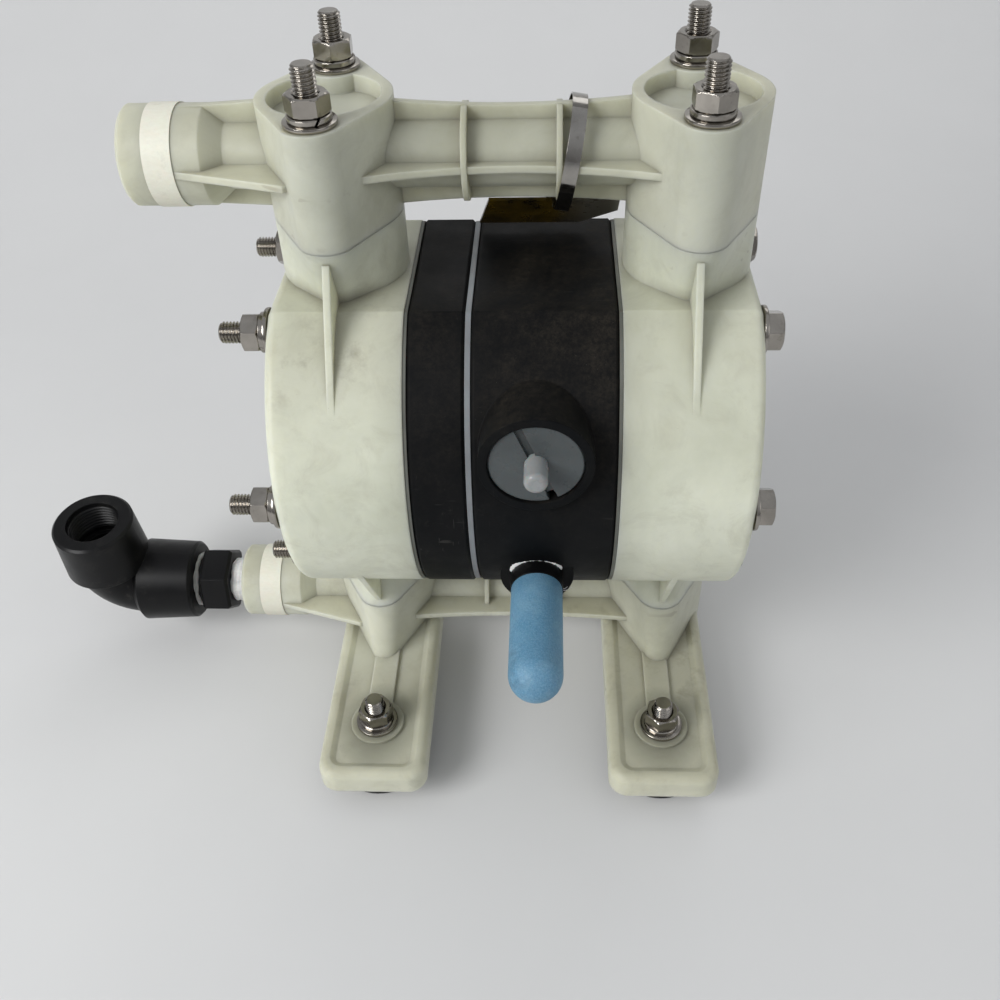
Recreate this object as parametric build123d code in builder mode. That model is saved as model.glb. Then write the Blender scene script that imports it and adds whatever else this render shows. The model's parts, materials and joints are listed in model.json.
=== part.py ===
from build123d import *
from math import asin, cos, radians, sin, sqrt
import os

os.makedirs("parts", exist_ok=True)

# Air operated double diaphragm pump. Millimetres. The shaft lies along X, the front is -Y and
# the floor is Z = 0. Heights called "up" are measured from the shaft axis, and the lower half
# of the wetted side mirrors the upper half.

# ------------------------------------------------------------------ clearances
running_clearance = 0.05  # on the radius, where a piece slides
fixed_clearance = 0.10  # on the radius, where a piece stays put
rest_gap = 0.10  # between a ball and the edge that it sits on

# ------------------------------------------------------------------ round pump body
body_r = 74.0
bolt_edge = 10.0  # tie bolt axis to the rim of the body
body_half = 37.2  # shaft direction, from the middle to the face that clamps a diaphragm
left_body_thk = 20.5
gasket_thk = 2.0
body_edge = 1.2  # chamfer round the outer edges of the air bodies
diaphragm_thk = 1.3
chamber_depth = 49.1
chamber_edge = 3.5  # rounding round the outer face of a fluid chamber

# ------------------------------------------------------------------ M8 hardware
thread_r = 4.0
thread_hole_r = 4.3
hex_across = 13.0
nut_thk = 6.5
head_thk = 5.8
washer_r = 9.0
washer_thk = 1.6
spring_washer_r = 7.4
spring_washer_thk = 2.1
washer_hole_r = 4.2
tie_count = 6
tie_thread_beyond_nut = 8.7

# ------------------------------------------------------------------ columns and manifolds
column_x = 63.5
column_r = 23.5
bolt_y = 25.7
bolt_boss_r = 10.5
neck_root_y = 20.5  # bolt boss where the neck grows out of the chamber's flat
neck_root_r = 8.0
neck_length = 22.57  # body flat to the face between chamber and manifold
header_rise = 20.5  # that face to the axis of the manifold's pipe
flange_rise = 20.5  # pipe axis to the manifold's outer face
pocket_depth = 6.0
pocket_wall = 4.0
header_r = 11.8
header_bore_r = 8.6
port_r = 17.2
port_reach = 134.2  # middle of the pump to the end of a port
port_length = 28.6
port_cone = 6.5
port_thread_r = 9.8  # half inch pipe thread
port_thread_depth = 18.0
fin_thk = 2.6
fin_side = 15.4  # half width of the level fins at mid span
fin_side_root = 23.0  # and where they run into the columns
low_fin_side = 21.5  # the same two sizes on the suction manifold
low_fin_side_root = 24.0
fin_rise = 16.4  # half height of the upright fins at mid span
fin_rise_root = 19.4
fin_root_x = 50.0  # shaft direction, from the middle to where the fins reach those sizes
port_fin_side = 29.0  # half sizes of the fins on the port side, where they leave a column
port_fin_rise = 19.4
port_fin_root_x = 12.0  # column axis to where they do
port_fin_start = 19.4  # port's end to where they grow out of its barrel
bead_x = (-16.2, 16.0)
bead_r = 16.6
bead_width = 2.0
stud_beyond_flange = 19.0
insert_r = 5.5
insert_length = 9.0

# ------------------------------------------------------------------ gusset on each neck
gusset_thk = 2.6
gusset_foot_y = 62.5
gusset_foot_up = 39.6

# ------------------------------------------------------------------ ball valves
ball_r = 10.0
ball_lift = 5.0
seat_bore_r = 8.0
seat_r = 15.0
seat_thk = 4.5
seat_seal_thk = 1.5
cage_r = 12.5
passage_r = 10.0
cage_slot = 5.0

# ------------------------------------------------------------------ fluid and air chambers
cavity_r = 49.0
cavity_depth = 41.5
cavity_end_r = 12.0
passage_end_up = 36.0  # shaft axis to where the passages open into the cavity
air_recess_floor_r = 34.0

# ------------------------------------------------------------------ shaft and diaphragm discs
shaft_r = 7.0
disc_r = 30.0
inner_disc_thk = 5.0
outer_disc_thk = 6.0
disc_bolt_r = 5.0
disc_bolt_depth = 13.0
bush_r = 9.5
bush_length = 5.0
shaft_seal_thk = 2.0
stroke = 8.0
stroke_clearance = 1.0

# ------------------------------------------------------------------ spool valve in the right air body
valve_x = 8.4
valve_up = 29.8
valve_boss_r = 20.4
valve_boss_out = 3.0  # boss face beyond the round of the body
valve_bore_r = 12.0
boss_root = 30.0  # how deep the bosses run back into the body
cap_r = 17.0
cap_recess = 0.9
cap_thk = 10.1
cap_spigot = 6.0
cap_slot_width = 2.9
cap_slot_depth = 1.2
cap_slot_turn = 112.0
cap_notch = 3.4
sleeve_bore_r = 8.5
spool_gap = 13.0  # between the cap's spigot and the spool
spool_length = 78.0
spool_waist_r = 5.5
spool_waist_length = 18.0
port_step = 12.0  # between neighbouring ports of the valve, centred on the supply port at Y = 0
port_groove = 1.4
port_groove_width = 5.0
gallery_up = 16.0  # supply gallery above the valve's axis
gallery_r = 2.5
spool_travel = 8.0
button_r = 4.2
button_out = 10.0  # knob beyond the boss
button_edge = 2.0
button_stem_r = 2.4
button_travel = 4.0
button_stop_thk = 1.5
button_well_depth = 12.1
button_stop_r = 3.8
button_spool_gap = 4.3
spring_wire = 0.9
spring_turns = 3.5
sleeve_port_r = 2.2

# ------------------------------------------------------------------ exhaust and air supply
exhaust_up = -33.0
exhaust_boss_r = 14.25
exhaust_boss_in = 5.5  # boss face inside the round of the body
exhaust_bore_r = 9.2
exhaust_bore_depth = 20.0
exhaust_passage_r = 4.0
spot_face_depth = 6.0
collar_r = 10.2
collar_thk = 8.0
silencer_r = 9.9
silencer_neck = 18.0
silencer_length = 50.5
silencer_wall = 3.0
supply_boss_r = 12.0
supply_boss_in = 1.0  # boss face inside the round of the body
supply_thread_r = 6.2  # quarter inch pipe thread
supply_thread_depth = 14.0
supply_passage_r = 3.5

# ------------------------------------------------------------------ feet
foot_x = 62.0
foot_width = 46.0
foot_reach = 106.0
foot_drop = 19.5  # axis of the suction pipe to the underside of the foot
foot_thk = 12.0
foot_edge = 3.5  # rounding round the top of the foot
foot_dish = 1.4
foot_dish_slope = 60.0
foot_rim = 4.5
foot_corner = 8.0
foot_bolt_y = 78.0
foot_pad_r = 11.5
foot_strip = 11.0  # raised strip from the column to the bolt
column_tip_r = 6.0  # front and back of the column where it meets the foot
column_tip_y = 37.0
base_head_set = 3.2  # heads of the base bolts above the underside of the foot
rubber_height = 14.0
rubber_r = 21.0
isolator_plate_r = 16.0
isolator_plate_thk = 2.0
isolator_stud_height = 27.5
isolator_insert_r = 6.5
isolator_insert_depth = 8.0
isolator_thread_r = 3.4  # M8 thread in the underside of each foot

# ------------------------------------------------------------------ inlet fittings
nipple_gap = 7.3  # taped thread showing between the port and the hexagon
nipple_hex_across = 28.5
nipple_hex_length = 13.9
nipple_hex_turn = 16.0
nipple_port_r = 9.7
nipple_port_depth = 14.0
nipple_elbow_depth = 14.0
nipple_bore_r = 7.5
elbow_gap = 3.5
elbow_reach = 42.0  # centre to each mouth
elbow_socket_r = 18.7
elbow_socket_root_r = 19.9
elbow_socket_length = 28.0
elbow_socket_edge = 2.5
elbow_lip = 1.2
elbow_body_r = 16.4
elbow_bend_r = 17.0
elbow_straight = 6.0  # past the bend at both ends
elbow_thread_r = 12.2  # three quarter inch pipe thread
elbow_thread_depth = 19.0
elbow_bore_r = 10.0
elbow_clock = 5.0  # degrees that the open mouth leans to the front

# ------------------------------------------------------------------ tapes, strap and tag
band_start = 9.2
band_width = 10.0
band_thk = 0.3
tape_thk = 0.7
strap_x = 19.6
strap_width = 5.2
strap_thk = 0.5
strap_lean = 9.7
strap_slack = 2.2  # room over the upright fins
strap_drop = 1.0
tag_length = 53.0
tag_offset = -4.5
tag_slant = 5.0
tag_width = 27.0
tag_thk = 1.0
tag_pitch = 44.0
tag_corner = 14.0
tag_tab_width = 10.0
tag_tab_length = 4.8

# ------------------------------------------------------------------ places worked out from the sizes
body_flat = (body_r - bolt_edge) * sin(radians(60)) + bolt_edge  # shaft axis to the flats
tie_circle_r = body_r - bolt_edge
joint_up = body_flat + neck_length
header_up = joint_up + header_rise
flange_up = header_up + flange_rise
foot_up = -header_up - foot_drop
shaft_height = rubber_height - foot_up
gasket_x = left_body_thk - body_half  # left face of the gasket
port_end_x = -port_reach
rim_x = body_half + diaphragm_thk
face_x = rim_x + chamber_depth
inlet_height = shaft_height - header_up
outlet_height = shaft_height + header_up
foot_top_up = foot_up + foot_thk
foot_top = rubber_height + foot_thk
valve_boss_y = -body_r - valve_boss_out
cap_front_y = valve_boss_y + cap_recess
cap_seat_y = cap_front_y + cap_thk
cap_back_y = cap_seat_y + cap_spigot
spool_front_y = cap_back_y + spool_gap
spool_back_y = spool_front_y + spool_length
sleeve_back_y = spool_back_y + spool_travel + 1
valve_bore_back_y = sleeve_back_y + 2
button_well_y = cap_front_y + button_well_depth
button_shoulder_y = button_well_y - button_travel - (spring_turns + 1) * spring_wire
button_front_y = valve_boss_y - button_out
exhaust_boss_y = exhaust_boss_in - body_r
supply_boss_y = body_r - supply_boss_in
ball_seat_rise = sqrt((ball_r + rest_gap) ** 2 - seat_bore_r**2)
column_centres = ((-column_x, 0), (column_x, 0))
stud_places = [(x, y) for x in (-column_x, column_x) for y in (-bolt_y, bolt_y)]
foot_bolt_places = [(x, y) for x in (-foot_x, foot_x) for y in (-foot_bolt_y, foot_bolt_y)]
shaft_axis = Axis((0, 0, shaft_height), (1, 0, 0))


def across(x):
    """Plane square to the shaft at x: its own x is Y, and its own y is up from the shaft axis."""
    return Plane(origin=(x, 0, shaft_height), x_dir=(0, 1, 0), z_dir=(1, 0, 0))


def facing_front(x, y, up):
    """Plane that faces -Y: its own x is X, and its own y is up."""
    return Plane(origin=(x, y, shaft_height + up), x_dir=(1, 0, 0), z_dir=(0, -1, 0))


def level(up):
    """Level plane at a height measured from the shaft axis."""
    return Plane.XY.offset(shaft_height + up)


side_view = facing_front(0, 0, 0)


def finish(builder, name):
    """Name a finished piece and write it."""
    builder.part.label = name
    export_step(builder.part, f"parts/{name}.step")


def body_outline(plane, inset=0.0):
    """Circle with flats at the top and bottom."""
    with BuildSketch(plane) as outline:
        Circle(body_r - inset)
        Rectangle(2 * body_r, 2 * (body_flat - inset), mode=Mode.INTERSECT)
    return outline.sketch


def tie_holes(plane, radius):
    """The ring of through bolts round the shaft."""
    with BuildSketch(plane) as holes:
        with PolarLocations(tie_circle_r, tie_count):
            Circle(radius)
    return holes.sketch


def column_outline(plane, x, mid_r, end_r, end_y):
    """Rhombus with round corners: a circle in the middle and a smaller one at each bolt."""
    lean = asin((mid_r - end_r) / end_y)
    side_x, side_y = mid_r * cos(lean), mid_r * sin(lean)
    tip_x, tip_y = end_r * cos(lean), end_y + end_r * sin(lean)
    with BuildSketch(plane) as outline:
        with BuildLine():
            ThreePointArc((x + side_x, -side_y), (x + mid_r, 0), (x + side_x, side_y))
            Line((x + side_x, side_y), (x + tip_x, tip_y))
            ThreePointArc((x + tip_x, tip_y), (x, end_y + end_r), (x - tip_x, tip_y))
            Line((x - tip_x, tip_y), (x - side_x, side_y))
            ThreePointArc((x - side_x, side_y), (x - mid_r, 0), (x - side_x, -side_y))
            Line((x - side_x, -side_y), (x - tip_x, -tip_y))
            ThreePointArc((x - tip_x, -tip_y), (x, -end_y - end_r), (x + tip_x, -tip_y))
            Line((x + tip_x, -tip_y), (x + side_x, -side_y))
        make_face()
    return outline.sketch


def ring(plane, outer_r, inner_r, places=((0, 0),)):
    """Ring outlines at one or more places."""
    with BuildSketch(plane) as outline:
        with Locations(*places):
            Circle(outer_r)
            Circle(inner_r, mode=Mode.SUBTRACT)
    return outline.sketch


def hexagon(plane, size, hole_r=0.0, places=((0, 0),), turn=0.0):
    """Hexagons, size across the flats, with or without a hole."""
    with BuildSketch(plane) as outline:
        with Locations(*places):
            RegularPolygon(size / 2, 6, major_radius=False, rotation=turn)
            if hole_r:
                Circle(hole_r, mode=Mode.SUBTRACT)
    return outline.sketch


def profile(plane, points):
    """Straight sided outline through a list of points."""
    with BuildSketch(plane) as outline:
        with BuildLine():
            Polyline(*points, close=True)
        make_face()
    return outline.sketch


def disc(plane, radius, places=((0, 0),)):
    """Round outlines at one or more places."""
    with BuildSketch(plane) as outline:
        with Locations(*places):
            Circle(radius)
    return outline.sketch


def arc_rise(mid, root, x):
    """Half size of a fin at x, on the arc from mid at the middle to root at fin_root_x."""
    sag = root - mid
    radius = (fin_root_x**2 + sag**2) / (2 * sag)
    return mid + radius - sqrt(radius**2 - x**2)


def fin_outline(plane, mid, root, port_root):
    """One pair of fins, waisted between the columns and running straight out to the port's barrel."""
    start_x = port_end_x + port_fin_start
    leave_x = -column_x - port_fin_root_x
    with BuildSketch(plane) as outline:
        with BuildLine():
            ThreePointArc((-fin_root_x, root), (0, mid), (fin_root_x, root))
            Polyline((fin_root_x, root), (column_x, root), (column_x, -root), (fin_root_x, -root))
            ThreePointArc((fin_root_x, -root), (0, -mid), (-fin_root_x, -root))
            Polyline(
                (-fin_root_x, -root),
                (-column_x, -root),
                (leave_x, -port_root),
                (start_x, -port_r),
                (start_x, port_r),
                (leave_x, port_root),
                (-column_x, root),
                (-fin_root_x, root),
            )
        make_face()
    return outline.sketch


# ------------------------------------------------------------------ fluid chambers
with BuildPart() as right_fluid_chamber:
    extrude(body_outline(across(rim_x)), amount=chamber_depth)
    fillet(right_fluid_chamber.faces().sort_by(Axis.X)[-1].edges(), chamber_edge)
    for side in (1, -1):
        root = column_outline(level(side * body_flat), column_x, column_r, neck_root_r, neck_root_y)
        top = column_outline(level(side * joint_up), column_x, column_r, bolt_boss_r, bolt_y)
        loft([root, top], ruled=True)
        extrude(root, amount=-side * 6)
        web = profile(
            across(column_x - gusset_thk / 2),
            [
                (-gusset_foot_y, side * gusset_foot_up),
                (-bolt_y - bolt_boss_r + 0.6, side * (joint_up - 4)),
                (bolt_y + bolt_boss_r - 0.6, side * (joint_up - 4)),
                (gusset_foot_y, side * gusset_foot_up),
            ],
        )
        extrude(web, amount=gusset_thk)
        inserts = disc(level(side * joint_up), insert_r + fixed_clearance, stud_places[2:])
        extrude(inserts, amount=-side * insert_length, mode=Mode.SUBTRACT)
    cavity = profile(
        side_view,
        [
            (rim_x, 0),
            (rim_x, cavity_r),
            (rim_x + 5.5, cavity_r),
            (rim_x + 26.5, cavity_r - 6),
            (rim_x + 37.5, cavity_r - 19),
            (rim_x + cavity_depth, cavity_end_r),
            (rim_x + cavity_depth, 0),
        ],
    )
    revolve(cavity, axis=shaft_axis, mode=Mode.SUBTRACT)
    extrude(tie_holes(across(rim_x), thread_hole_r), amount=chamber_depth, mode=Mode.SUBTRACT)
    seat_floor = joint_up - seat_thk - seat_seal_thk
    seat_pocket = disc(level(joint_up), seat_r + fixed_clearance, column_centres[1:])
    extrude(seat_pocket, amount=seat_floor - joint_up, mode=Mode.SUBTRACT)
    passage = disc(level(seat_floor), passage_r, column_centres[1:])
    extrude(passage, amount=passage_end_up - seat_floor, mode=Mode.SUBTRACT)
    cage_depth = ball_seat_rise + ball_lift + sqrt(ball_r**2 - seat_bore_r**2) + 0.5
    cage_top = cage_depth - joint_up
    extrude(disc(level(-joint_up), cage_r, column_centres[1:]), amount=cage_depth, mode=Mode.SUBTRACT)
    with BuildSketch(level(cage_top)):
        with Locations((column_x, 0)):
            Circle(seat_bore_r)
            Rectangle(2 * cage_r, cage_slot)
            Rectangle(cage_slot, 2 * cage_r)
    extrude(amount=-passage_end_up - cage_top, mode=Mode.SUBTRACT)
finish(right_fluid_chamber, "right_fluid_chamber")

with BuildPart() as left_fluid_chamber:
    add(mirror(right_fluid_chamber.part, about=Plane.YZ, mode=Mode.PRIVATE))
finish(left_fluid_chamber, "left_fluid_chamber")

# ------------------------------------------------------------------ air bodies and the gasket between them
recess_floor = body_half - inner_disc_thk - stroke - stroke_clearance
bush_end = recess_floor - fixed_clearance - bush_length
left_seal_x = gasket_x + gasket_thk
right_seal_x = bush_end - shaft_seal_thk
air_recess = [
    (body_half, 0),
    (body_half, cavity_r),
    (recess_floor + 1.3, air_recess_floor_r),
    (recess_floor, air_recess_floor_r - 1.3),
    (recess_floor, 0),
]

with BuildPart() as left_air_body:
    extrude(body_outline(across(-body_half)), amount=body_half + gasket_x)
    chamfer(left_air_body.faces().filter_by(Axis.X).edges(), body_edge)
    revolve(profile(side_view, [(-x, up) for x, up in air_recess]), axis=shaft_axis, mode=Mode.SUBTRACT)
    extrude(disc(across(-bush_end), bush_r + fixed_clearance), amount=-bush_length - 1, mode=Mode.SUBTRACT)
    extrude(disc(across(gasket_x), shaft_r + 1), amount=-body_half, mode=Mode.SUBTRACT)
    extrude(tie_holes(across(gasket_x), thread_hole_r), amount=-body_half, mode=Mode.SUBTRACT)
    extrude(disc(across(gasket_x), gallery_r, [(port_step, valve_up)]), amount=-body_half, mode=Mode.SUBTRACT)
finish(left_air_body, "left_air_body")

with BuildPart() as body_gasket:
    extrude(body_outline(across(gasket_x), 0.6), amount=gasket_thk)
    extrude(tie_holes(across(gasket_x), thread_hole_r), amount=gasket_thk, mode=Mode.SUBTRACT)
    extrude(disc(across(gasket_x), shaft_r + 1.5), amount=gasket_thk, mode=Mode.SUBTRACT)
    extrude(disc(across(gasket_x), gallery_r, [(port_step, valve_up)]), amount=gasket_thk, mode=Mode.SUBTRACT)
finish(body_gasket, "body_gasket")

with BuildPart() as right_air_body:
    extrude(body_outline(across(left_seal_x)), amount=body_half - left_seal_x)
    chamfer(right_air_body.faces().filter_by(Axis.X).edges(), body_edge)
    extrude(disc(facing_front(valve_x, valve_boss_y, valve_up), valve_boss_r), amount=-boss_root)
    extrude(disc(facing_front(valve_x, exhaust_boss_y, exhaust_up), exhaust_boss_r), amount=-boss_root)
    extrude(disc(facing_front(valve_x, supply_boss_y, valve_up), supply_boss_r), amount=boss_root)
    revolve(profile(side_view, air_recess), axis=shaft_axis, mode=Mode.SUBTRACT)
    extrude(disc(across(bush_end), bush_r + fixed_clearance), amount=bush_length + 1, mode=Mode.SUBTRACT)
    extrude(disc(across(bush_end), bush_r + fixed_clearance), amount=-shaft_seal_thk, mode=Mode.SUBTRACT)
    extrude(disc(across(left_seal_x), bush_r + fixed_clearance), amount=shaft_seal_thk, mode=Mode.SUBTRACT)
    extrude(disc(across(left_seal_x), shaft_r + 1), amount=body_half, mode=Mode.SUBTRACT)
    extrude(tie_holes(across(left_seal_x), thread_hole_r), amount=body_half * 2, mode=Mode.SUBTRACT)
    cap_pocket = disc(facing_front(valve_x, valve_boss_y, valve_up), cap_r + fixed_clearance)
    extrude(cap_pocket, amount=valve_boss_y - cap_seat_y, mode=Mode.SUBTRACT)
    valve_bore = disc(facing_front(valve_x, valve_bore_back_y, valve_up), valve_bore_r)
    extrude(valve_bore, amount=valve_bore_back_y - cap_seat_y, mode=Mode.SUBTRACT)
    exhaust_bore = disc(facing_front(valve_x, exhaust_boss_y, exhaust_up), exhaust_bore_r)
    extrude(exhaust_bore, amount=-exhaust_bore_depth, mode=Mode.SUBTRACT)
    spot_face = disc(facing_front(valve_x, exhaust_boss_y, exhaust_up), collar_r + 3 * fixed_clearance)
    extrude(spot_face, amount=spot_face_depth, mode=Mode.SUBTRACT)
    gallery_end_y = 2 * port_step + exhaust_passage_r + 1
    exhaust_gallery = disc(facing_front(valve_x, gallery_end_y, exhaust_up), exhaust_passage_r)
    extrude(exhaust_gallery, amount=gallery_end_y - exhaust_boss_y - 1, mode=Mode.SUBTRACT)
    for y in (-2 * port_step, 2 * port_step):
        riser = disc(level(exhaust_up - 1), exhaust_passage_r - 0.7, [(valve_x, y)])
        extrude(riser, amount=valve_up - exhaust_up - valve_bore_r + 3, mode=Mode.SUBTRACT)
    supply_bore = disc(facing_front(valve_x, supply_boss_y, valve_up), supply_thread_r)
    extrude(supply_bore, amount=supply_thread_depth, mode=Mode.SUBTRACT)
    supply_passage = disc(facing_front(valve_x, supply_boss_y - supply_thread_depth, valve_up), supply_passage_r)
    extrude(supply_passage, amount=8, mode=Mode.SUBTRACT)
    gallery_y = supply_boss_y - supply_thread_depth - 5
    gallery = disc(facing_front(valve_x, gallery_y, valve_up + gallery_up), gallery_r)
    extrude(gallery, amount=gallery_y, mode=Mode.SUBTRACT)
    drops = disc(level(valve_up + gallery_up), gallery_r, [(valve_x, 0), (valve_x, gallery_y)])
    extrude(drops, amount=-gallery_up + valve_bore_r * 0.5, mode=Mode.SUBTRACT)
    extrude(disc(across(valve_x), gallery_r, [(port_step, valve_up)]), amount=-body_half, mode=Mode.SUBTRACT)
    extrude(disc(across(valve_x), gallery_r, [(-port_step, valve_up)]), amount=body_half / 2, mode=Mode.SUBTRACT)
finish(right_air_body, "right_air_body")

# ------------------------------------------------------------------ diaphragms
with BuildPart() as right_diaphragm:
    extrude(body_outline(across(body_half), 0.4), amount=diaphragm_thk)
    convolution_r = (disc_r + cavity_r) / 2
    convolution_rise = 6.0
    for face, cut in ((rim_x, Mode.ADD), (body_half, Mode.SUBTRACT)):
        with BuildSketch(side_view):
            with BuildLine():
                ThreePointArc((face, disc_r + 0.8), (face + convolution_rise, convolution_r), (face, cavity_r - 0.8))
                Line((face, cavity_r - 0.8), (face, disc_r + 0.8))
            make_face()
        revolve(axis=shaft_axis, mode=cut)
    extrude(tie_holes(across(body_half), thread_hole_r), amount=diaphragm_thk, mode=Mode.SUBTRACT)
    stud_hole = disc(across(body_half), disc_bolt_r + fixed_clearance)
    extrude(stud_hole, amount=diaphragm_thk, mode=Mode.SUBTRACT)
finish(right_diaphragm, "right_diaphragm")

with BuildPart() as left_diaphragm:
    add(mirror(right_diaphragm.part, about=Plane.YZ, mode=Mode.PRIVATE))
finish(left_diaphragm, "left_diaphragm")

# ------------------------------------------------------------------ shaft, discs, bushes and seals
inner_disc_x = body_half - inner_disc_thk
with BuildPart() as centre_shaft:
    extrude(disc(across(-inner_disc_x), shaft_r), amount=2 * inner_disc_x)
    for x, way in ((inner_disc_x, -1), (-inner_disc_x, 1)):
        stud_bore = disc(across(x), disc_bolt_r + fixed_clearance)
        extrude(stud_bore, amount=way * disc_bolt_depth, mode=Mode.SUBTRACT)
finish(centre_shaft, "centre_shaft")

with BuildPart() as inner_discs:
    extrude(ring(across(inner_disc_x), disc_r, disc_bolt_r + fixed_clearance), amount=inner_disc_thk)
    fillet(inner_discs.edges().filter_by(GeomType.CIRCLE).sort_by(SortBy.RADIUS)[-2:], 1.5)
    add(mirror(inner_discs.part, about=Plane.YZ, mode=Mode.PRIVATE))
finish(inner_discs, "inner_discs")

with BuildPart() as outer_discs:
    with BuildSketch(side_view):
        with BuildLine():
            Line((rim_x, 0), (rim_x, disc_r))
            Line((rim_x, disc_r), (rim_x + 1.5, disc_r))
            ThreePointArc(
                (rim_x + 1.5, disc_r),
                (rim_x + outer_disc_thk * 0.72, disc_r * 0.62),
                (rim_x + outer_disc_thk, disc_r * 0.2),
            )
            Line((rim_x + outer_disc_thk, disc_r * 0.2), (rim_x + outer_disc_thk, 0))
            Line((rim_x + outer_disc_thk, 0), (rim_x, 0))
        make_face()
    revolve(axis=shaft_axis)
    disc_bolt_length = diaphragm_thk + inner_disc_thk + disc_bolt_depth - 1
    extrude(disc(across(rim_x), disc_bolt_r), amount=-disc_bolt_length)
    add(mirror(outer_discs.part, about=Plane.YZ, mode=Mode.PRIVATE))
finish(outer_discs, "outer_discs")

with BuildPart() as shaft_bushes:
    extrude(ring(across(bush_end), bush_r, shaft_r + running_clearance), amount=bush_length)
    add(mirror(shaft_bushes.part, about=Plane.YZ, mode=Mode.PRIVATE))
finish(shaft_bushes, "shaft_bushes")

with BuildPart() as shaft_seals:
    for x in (left_seal_x, right_seal_x):
        extrude(ring(across(x), bush_r, shaft_r + running_clearance), amount=shaft_seal_thk)
finish(shaft_seals, "shaft_seals")

# ------------------------------------------------------------------ discharge manifold
def pipe_run(side):
    """Pipe, fins, beads and port of one manifold, solid: side is 1 for the top and -1 for the bottom."""
    axis_up = side * header_up
    cone_x = port_end_x + port_length
    extrude(disc(across(cone_x), header_r, [(0, axis_up)]), amount=column_x - cone_x)
    for x in bead_x:
        extrude(disc(across(x - bead_width / 2), bead_r, [(0, axis_up)]), amount=bead_width)
    mid, root = (fin_side, fin_side_root) if side == 1 else (low_fin_side, low_fin_side_root)
    extrude(fin_outline(level(axis_up), mid, root, port_fin_side), amount=fin_thk / 2, both=True)
    upright = fin_outline(facing_front(0, 0, axis_up), fin_rise, fin_rise_root, port_fin_rise)
    extrude(upright, amount=fin_thk / 2, both=True)
    port = profile(
        side_view,
        [
            (port_end_x, axis_up),
            (port_end_x, axis_up + port_r - 1),
            (port_end_x + 1, axis_up + port_r),
            (cone_x, axis_up + port_r),
            (cone_x + port_cone, axis_up + header_r),
            (cone_x + port_cone, axis_up),
        ],
    )
    revolve(port, axis=Axis((0, 0, shaft_height + axis_up), (1, 0, 0)))


def pipe_bores(side):
    """Openings through the pipe of one manifold."""
    axis_up = side * header_up
    bore = disc(across(port_end_x), header_bore_r, [(0, axis_up)])
    extrude(bore, amount=column_x - port_end_x, mode=Mode.SUBTRACT)
    thread = disc(across(port_end_x), port_thread_r, [(0, axis_up)])
    extrude(thread, amount=port_thread_depth, mode=Mode.SUBTRACT)


with BuildPart() as discharge_manifold:
    for x, y in column_centres:
        column = column_outline(level(joint_up), x, column_r, bolt_boss_r, bolt_y)
        extrude(column, amount=flange_up - joint_up)
    pipe_run(1)
    with BuildSketch(level(flange_up)):
        with Locations(*column_centres):
            Circle(column_r - pocket_wall)
        with Locations(*stud_places):
            Circle(bolt_boss_r, mode=Mode.SUBTRACT)
    extrude(amount=-pocket_depth, mode=Mode.SUBTRACT)
    pipe_bores(1)
    pin_end = joint_up + ball_seat_rise + ball_lift + ball_r + rest_gap
    cage_roof = header_up + header_bore_r + 0.9
    extrude(disc(level(joint_up), cage_r, column_centres), amount=cage_roof - joint_up, mode=Mode.SUBTRACT)
    extrude(disc(level(pin_end), 3, column_centres), amount=cage_roof - pin_end)
    extrude(disc(level(joint_up), thread_hole_r, stud_places), amount=flange_up, mode=Mode.SUBTRACT)
finish(discharge_manifold, "discharge_manifold")

# ------------------------------------------------------------------ suction manifold with its feet
base_head_up = foot_up + base_head_set
base_washer_up = base_head_up + head_thk
base_recess_up = base_washer_up + washer_thk
foot_centres = ((-foot_x, 0), (foot_x, 0))
with BuildPart() as suction_manifold:
    with BuildSketch(level(foot_up)):
        with Locations(*foot_centres):
            RectangleRounded(foot_width, 2 * foot_reach, foot_corner)
    extrude(amount=foot_thk)
    fillet(suction_manifold.faces().group_by(Axis.Z)[-1].edges(), foot_edge)
    with BuildSketch(level(foot_top_up)):
        with Locations(*foot_centres):
            RectangleRounded(foot_width - 2 * foot_rim, 2 * (foot_reach - foot_rim), foot_corner - foot_rim / 2)
    extrude(amount=-foot_dish, taper=foot_dish_slope, mode=Mode.SUBTRACT)
    strip_y = (foot_bolt_y + column_tip_y) / 2
    with BuildSketch(level(foot_top_up - foot_dish)):
        with Locations(*foot_bolt_places):
            Circle(foot_pad_r)
        with Locations(*[(x, y) for x, _ in foot_centres for y in (-strip_y, strip_y)]):
            Rectangle(foot_strip, foot_bolt_y - column_tip_y)
    extrude(amount=foot_dish)
    for x, y in column_centres:
        top = column_outline(level(-joint_up), x, column_r, bolt_boss_r, bolt_y)
        low = column_outline(level(foot_top_up - 1), x, column_r, column_tip_r, column_tip_y)
        loft([low, top], ruled=True)
        extrude(low, amount=-foot_thk / 2)
    pipe_run(-1)
    pipe_bores(-1)
    seat_pocket = disc(level(-joint_up), seat_r + fixed_clearance, column_centres)
    extrude(seat_pocket, amount=-seat_thk - seat_seal_thk, mode=Mode.SUBTRACT)
    extrude(disc(level(-joint_up), passage_r, column_centres), amount=joint_up - header_up, mode=Mode.SUBTRACT)
    head_pocket = disc(level(foot_up), washer_r + 0.8, stud_places)
    extrude(head_pocket, amount=base_recess_up - foot_up, mode=Mode.SUBTRACT)
    extrude(disc(level(foot_up), thread_hole_r, stud_places), amount=-joint_up - foot_up, mode=Mode.SUBTRACT)
    extrude(disc(level(foot_up), thread_hole_r, foot_bolt_places), amount=foot_thk, mode=Mode.SUBTRACT)
finish(suction_manifold, "suction_manifold")

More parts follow.
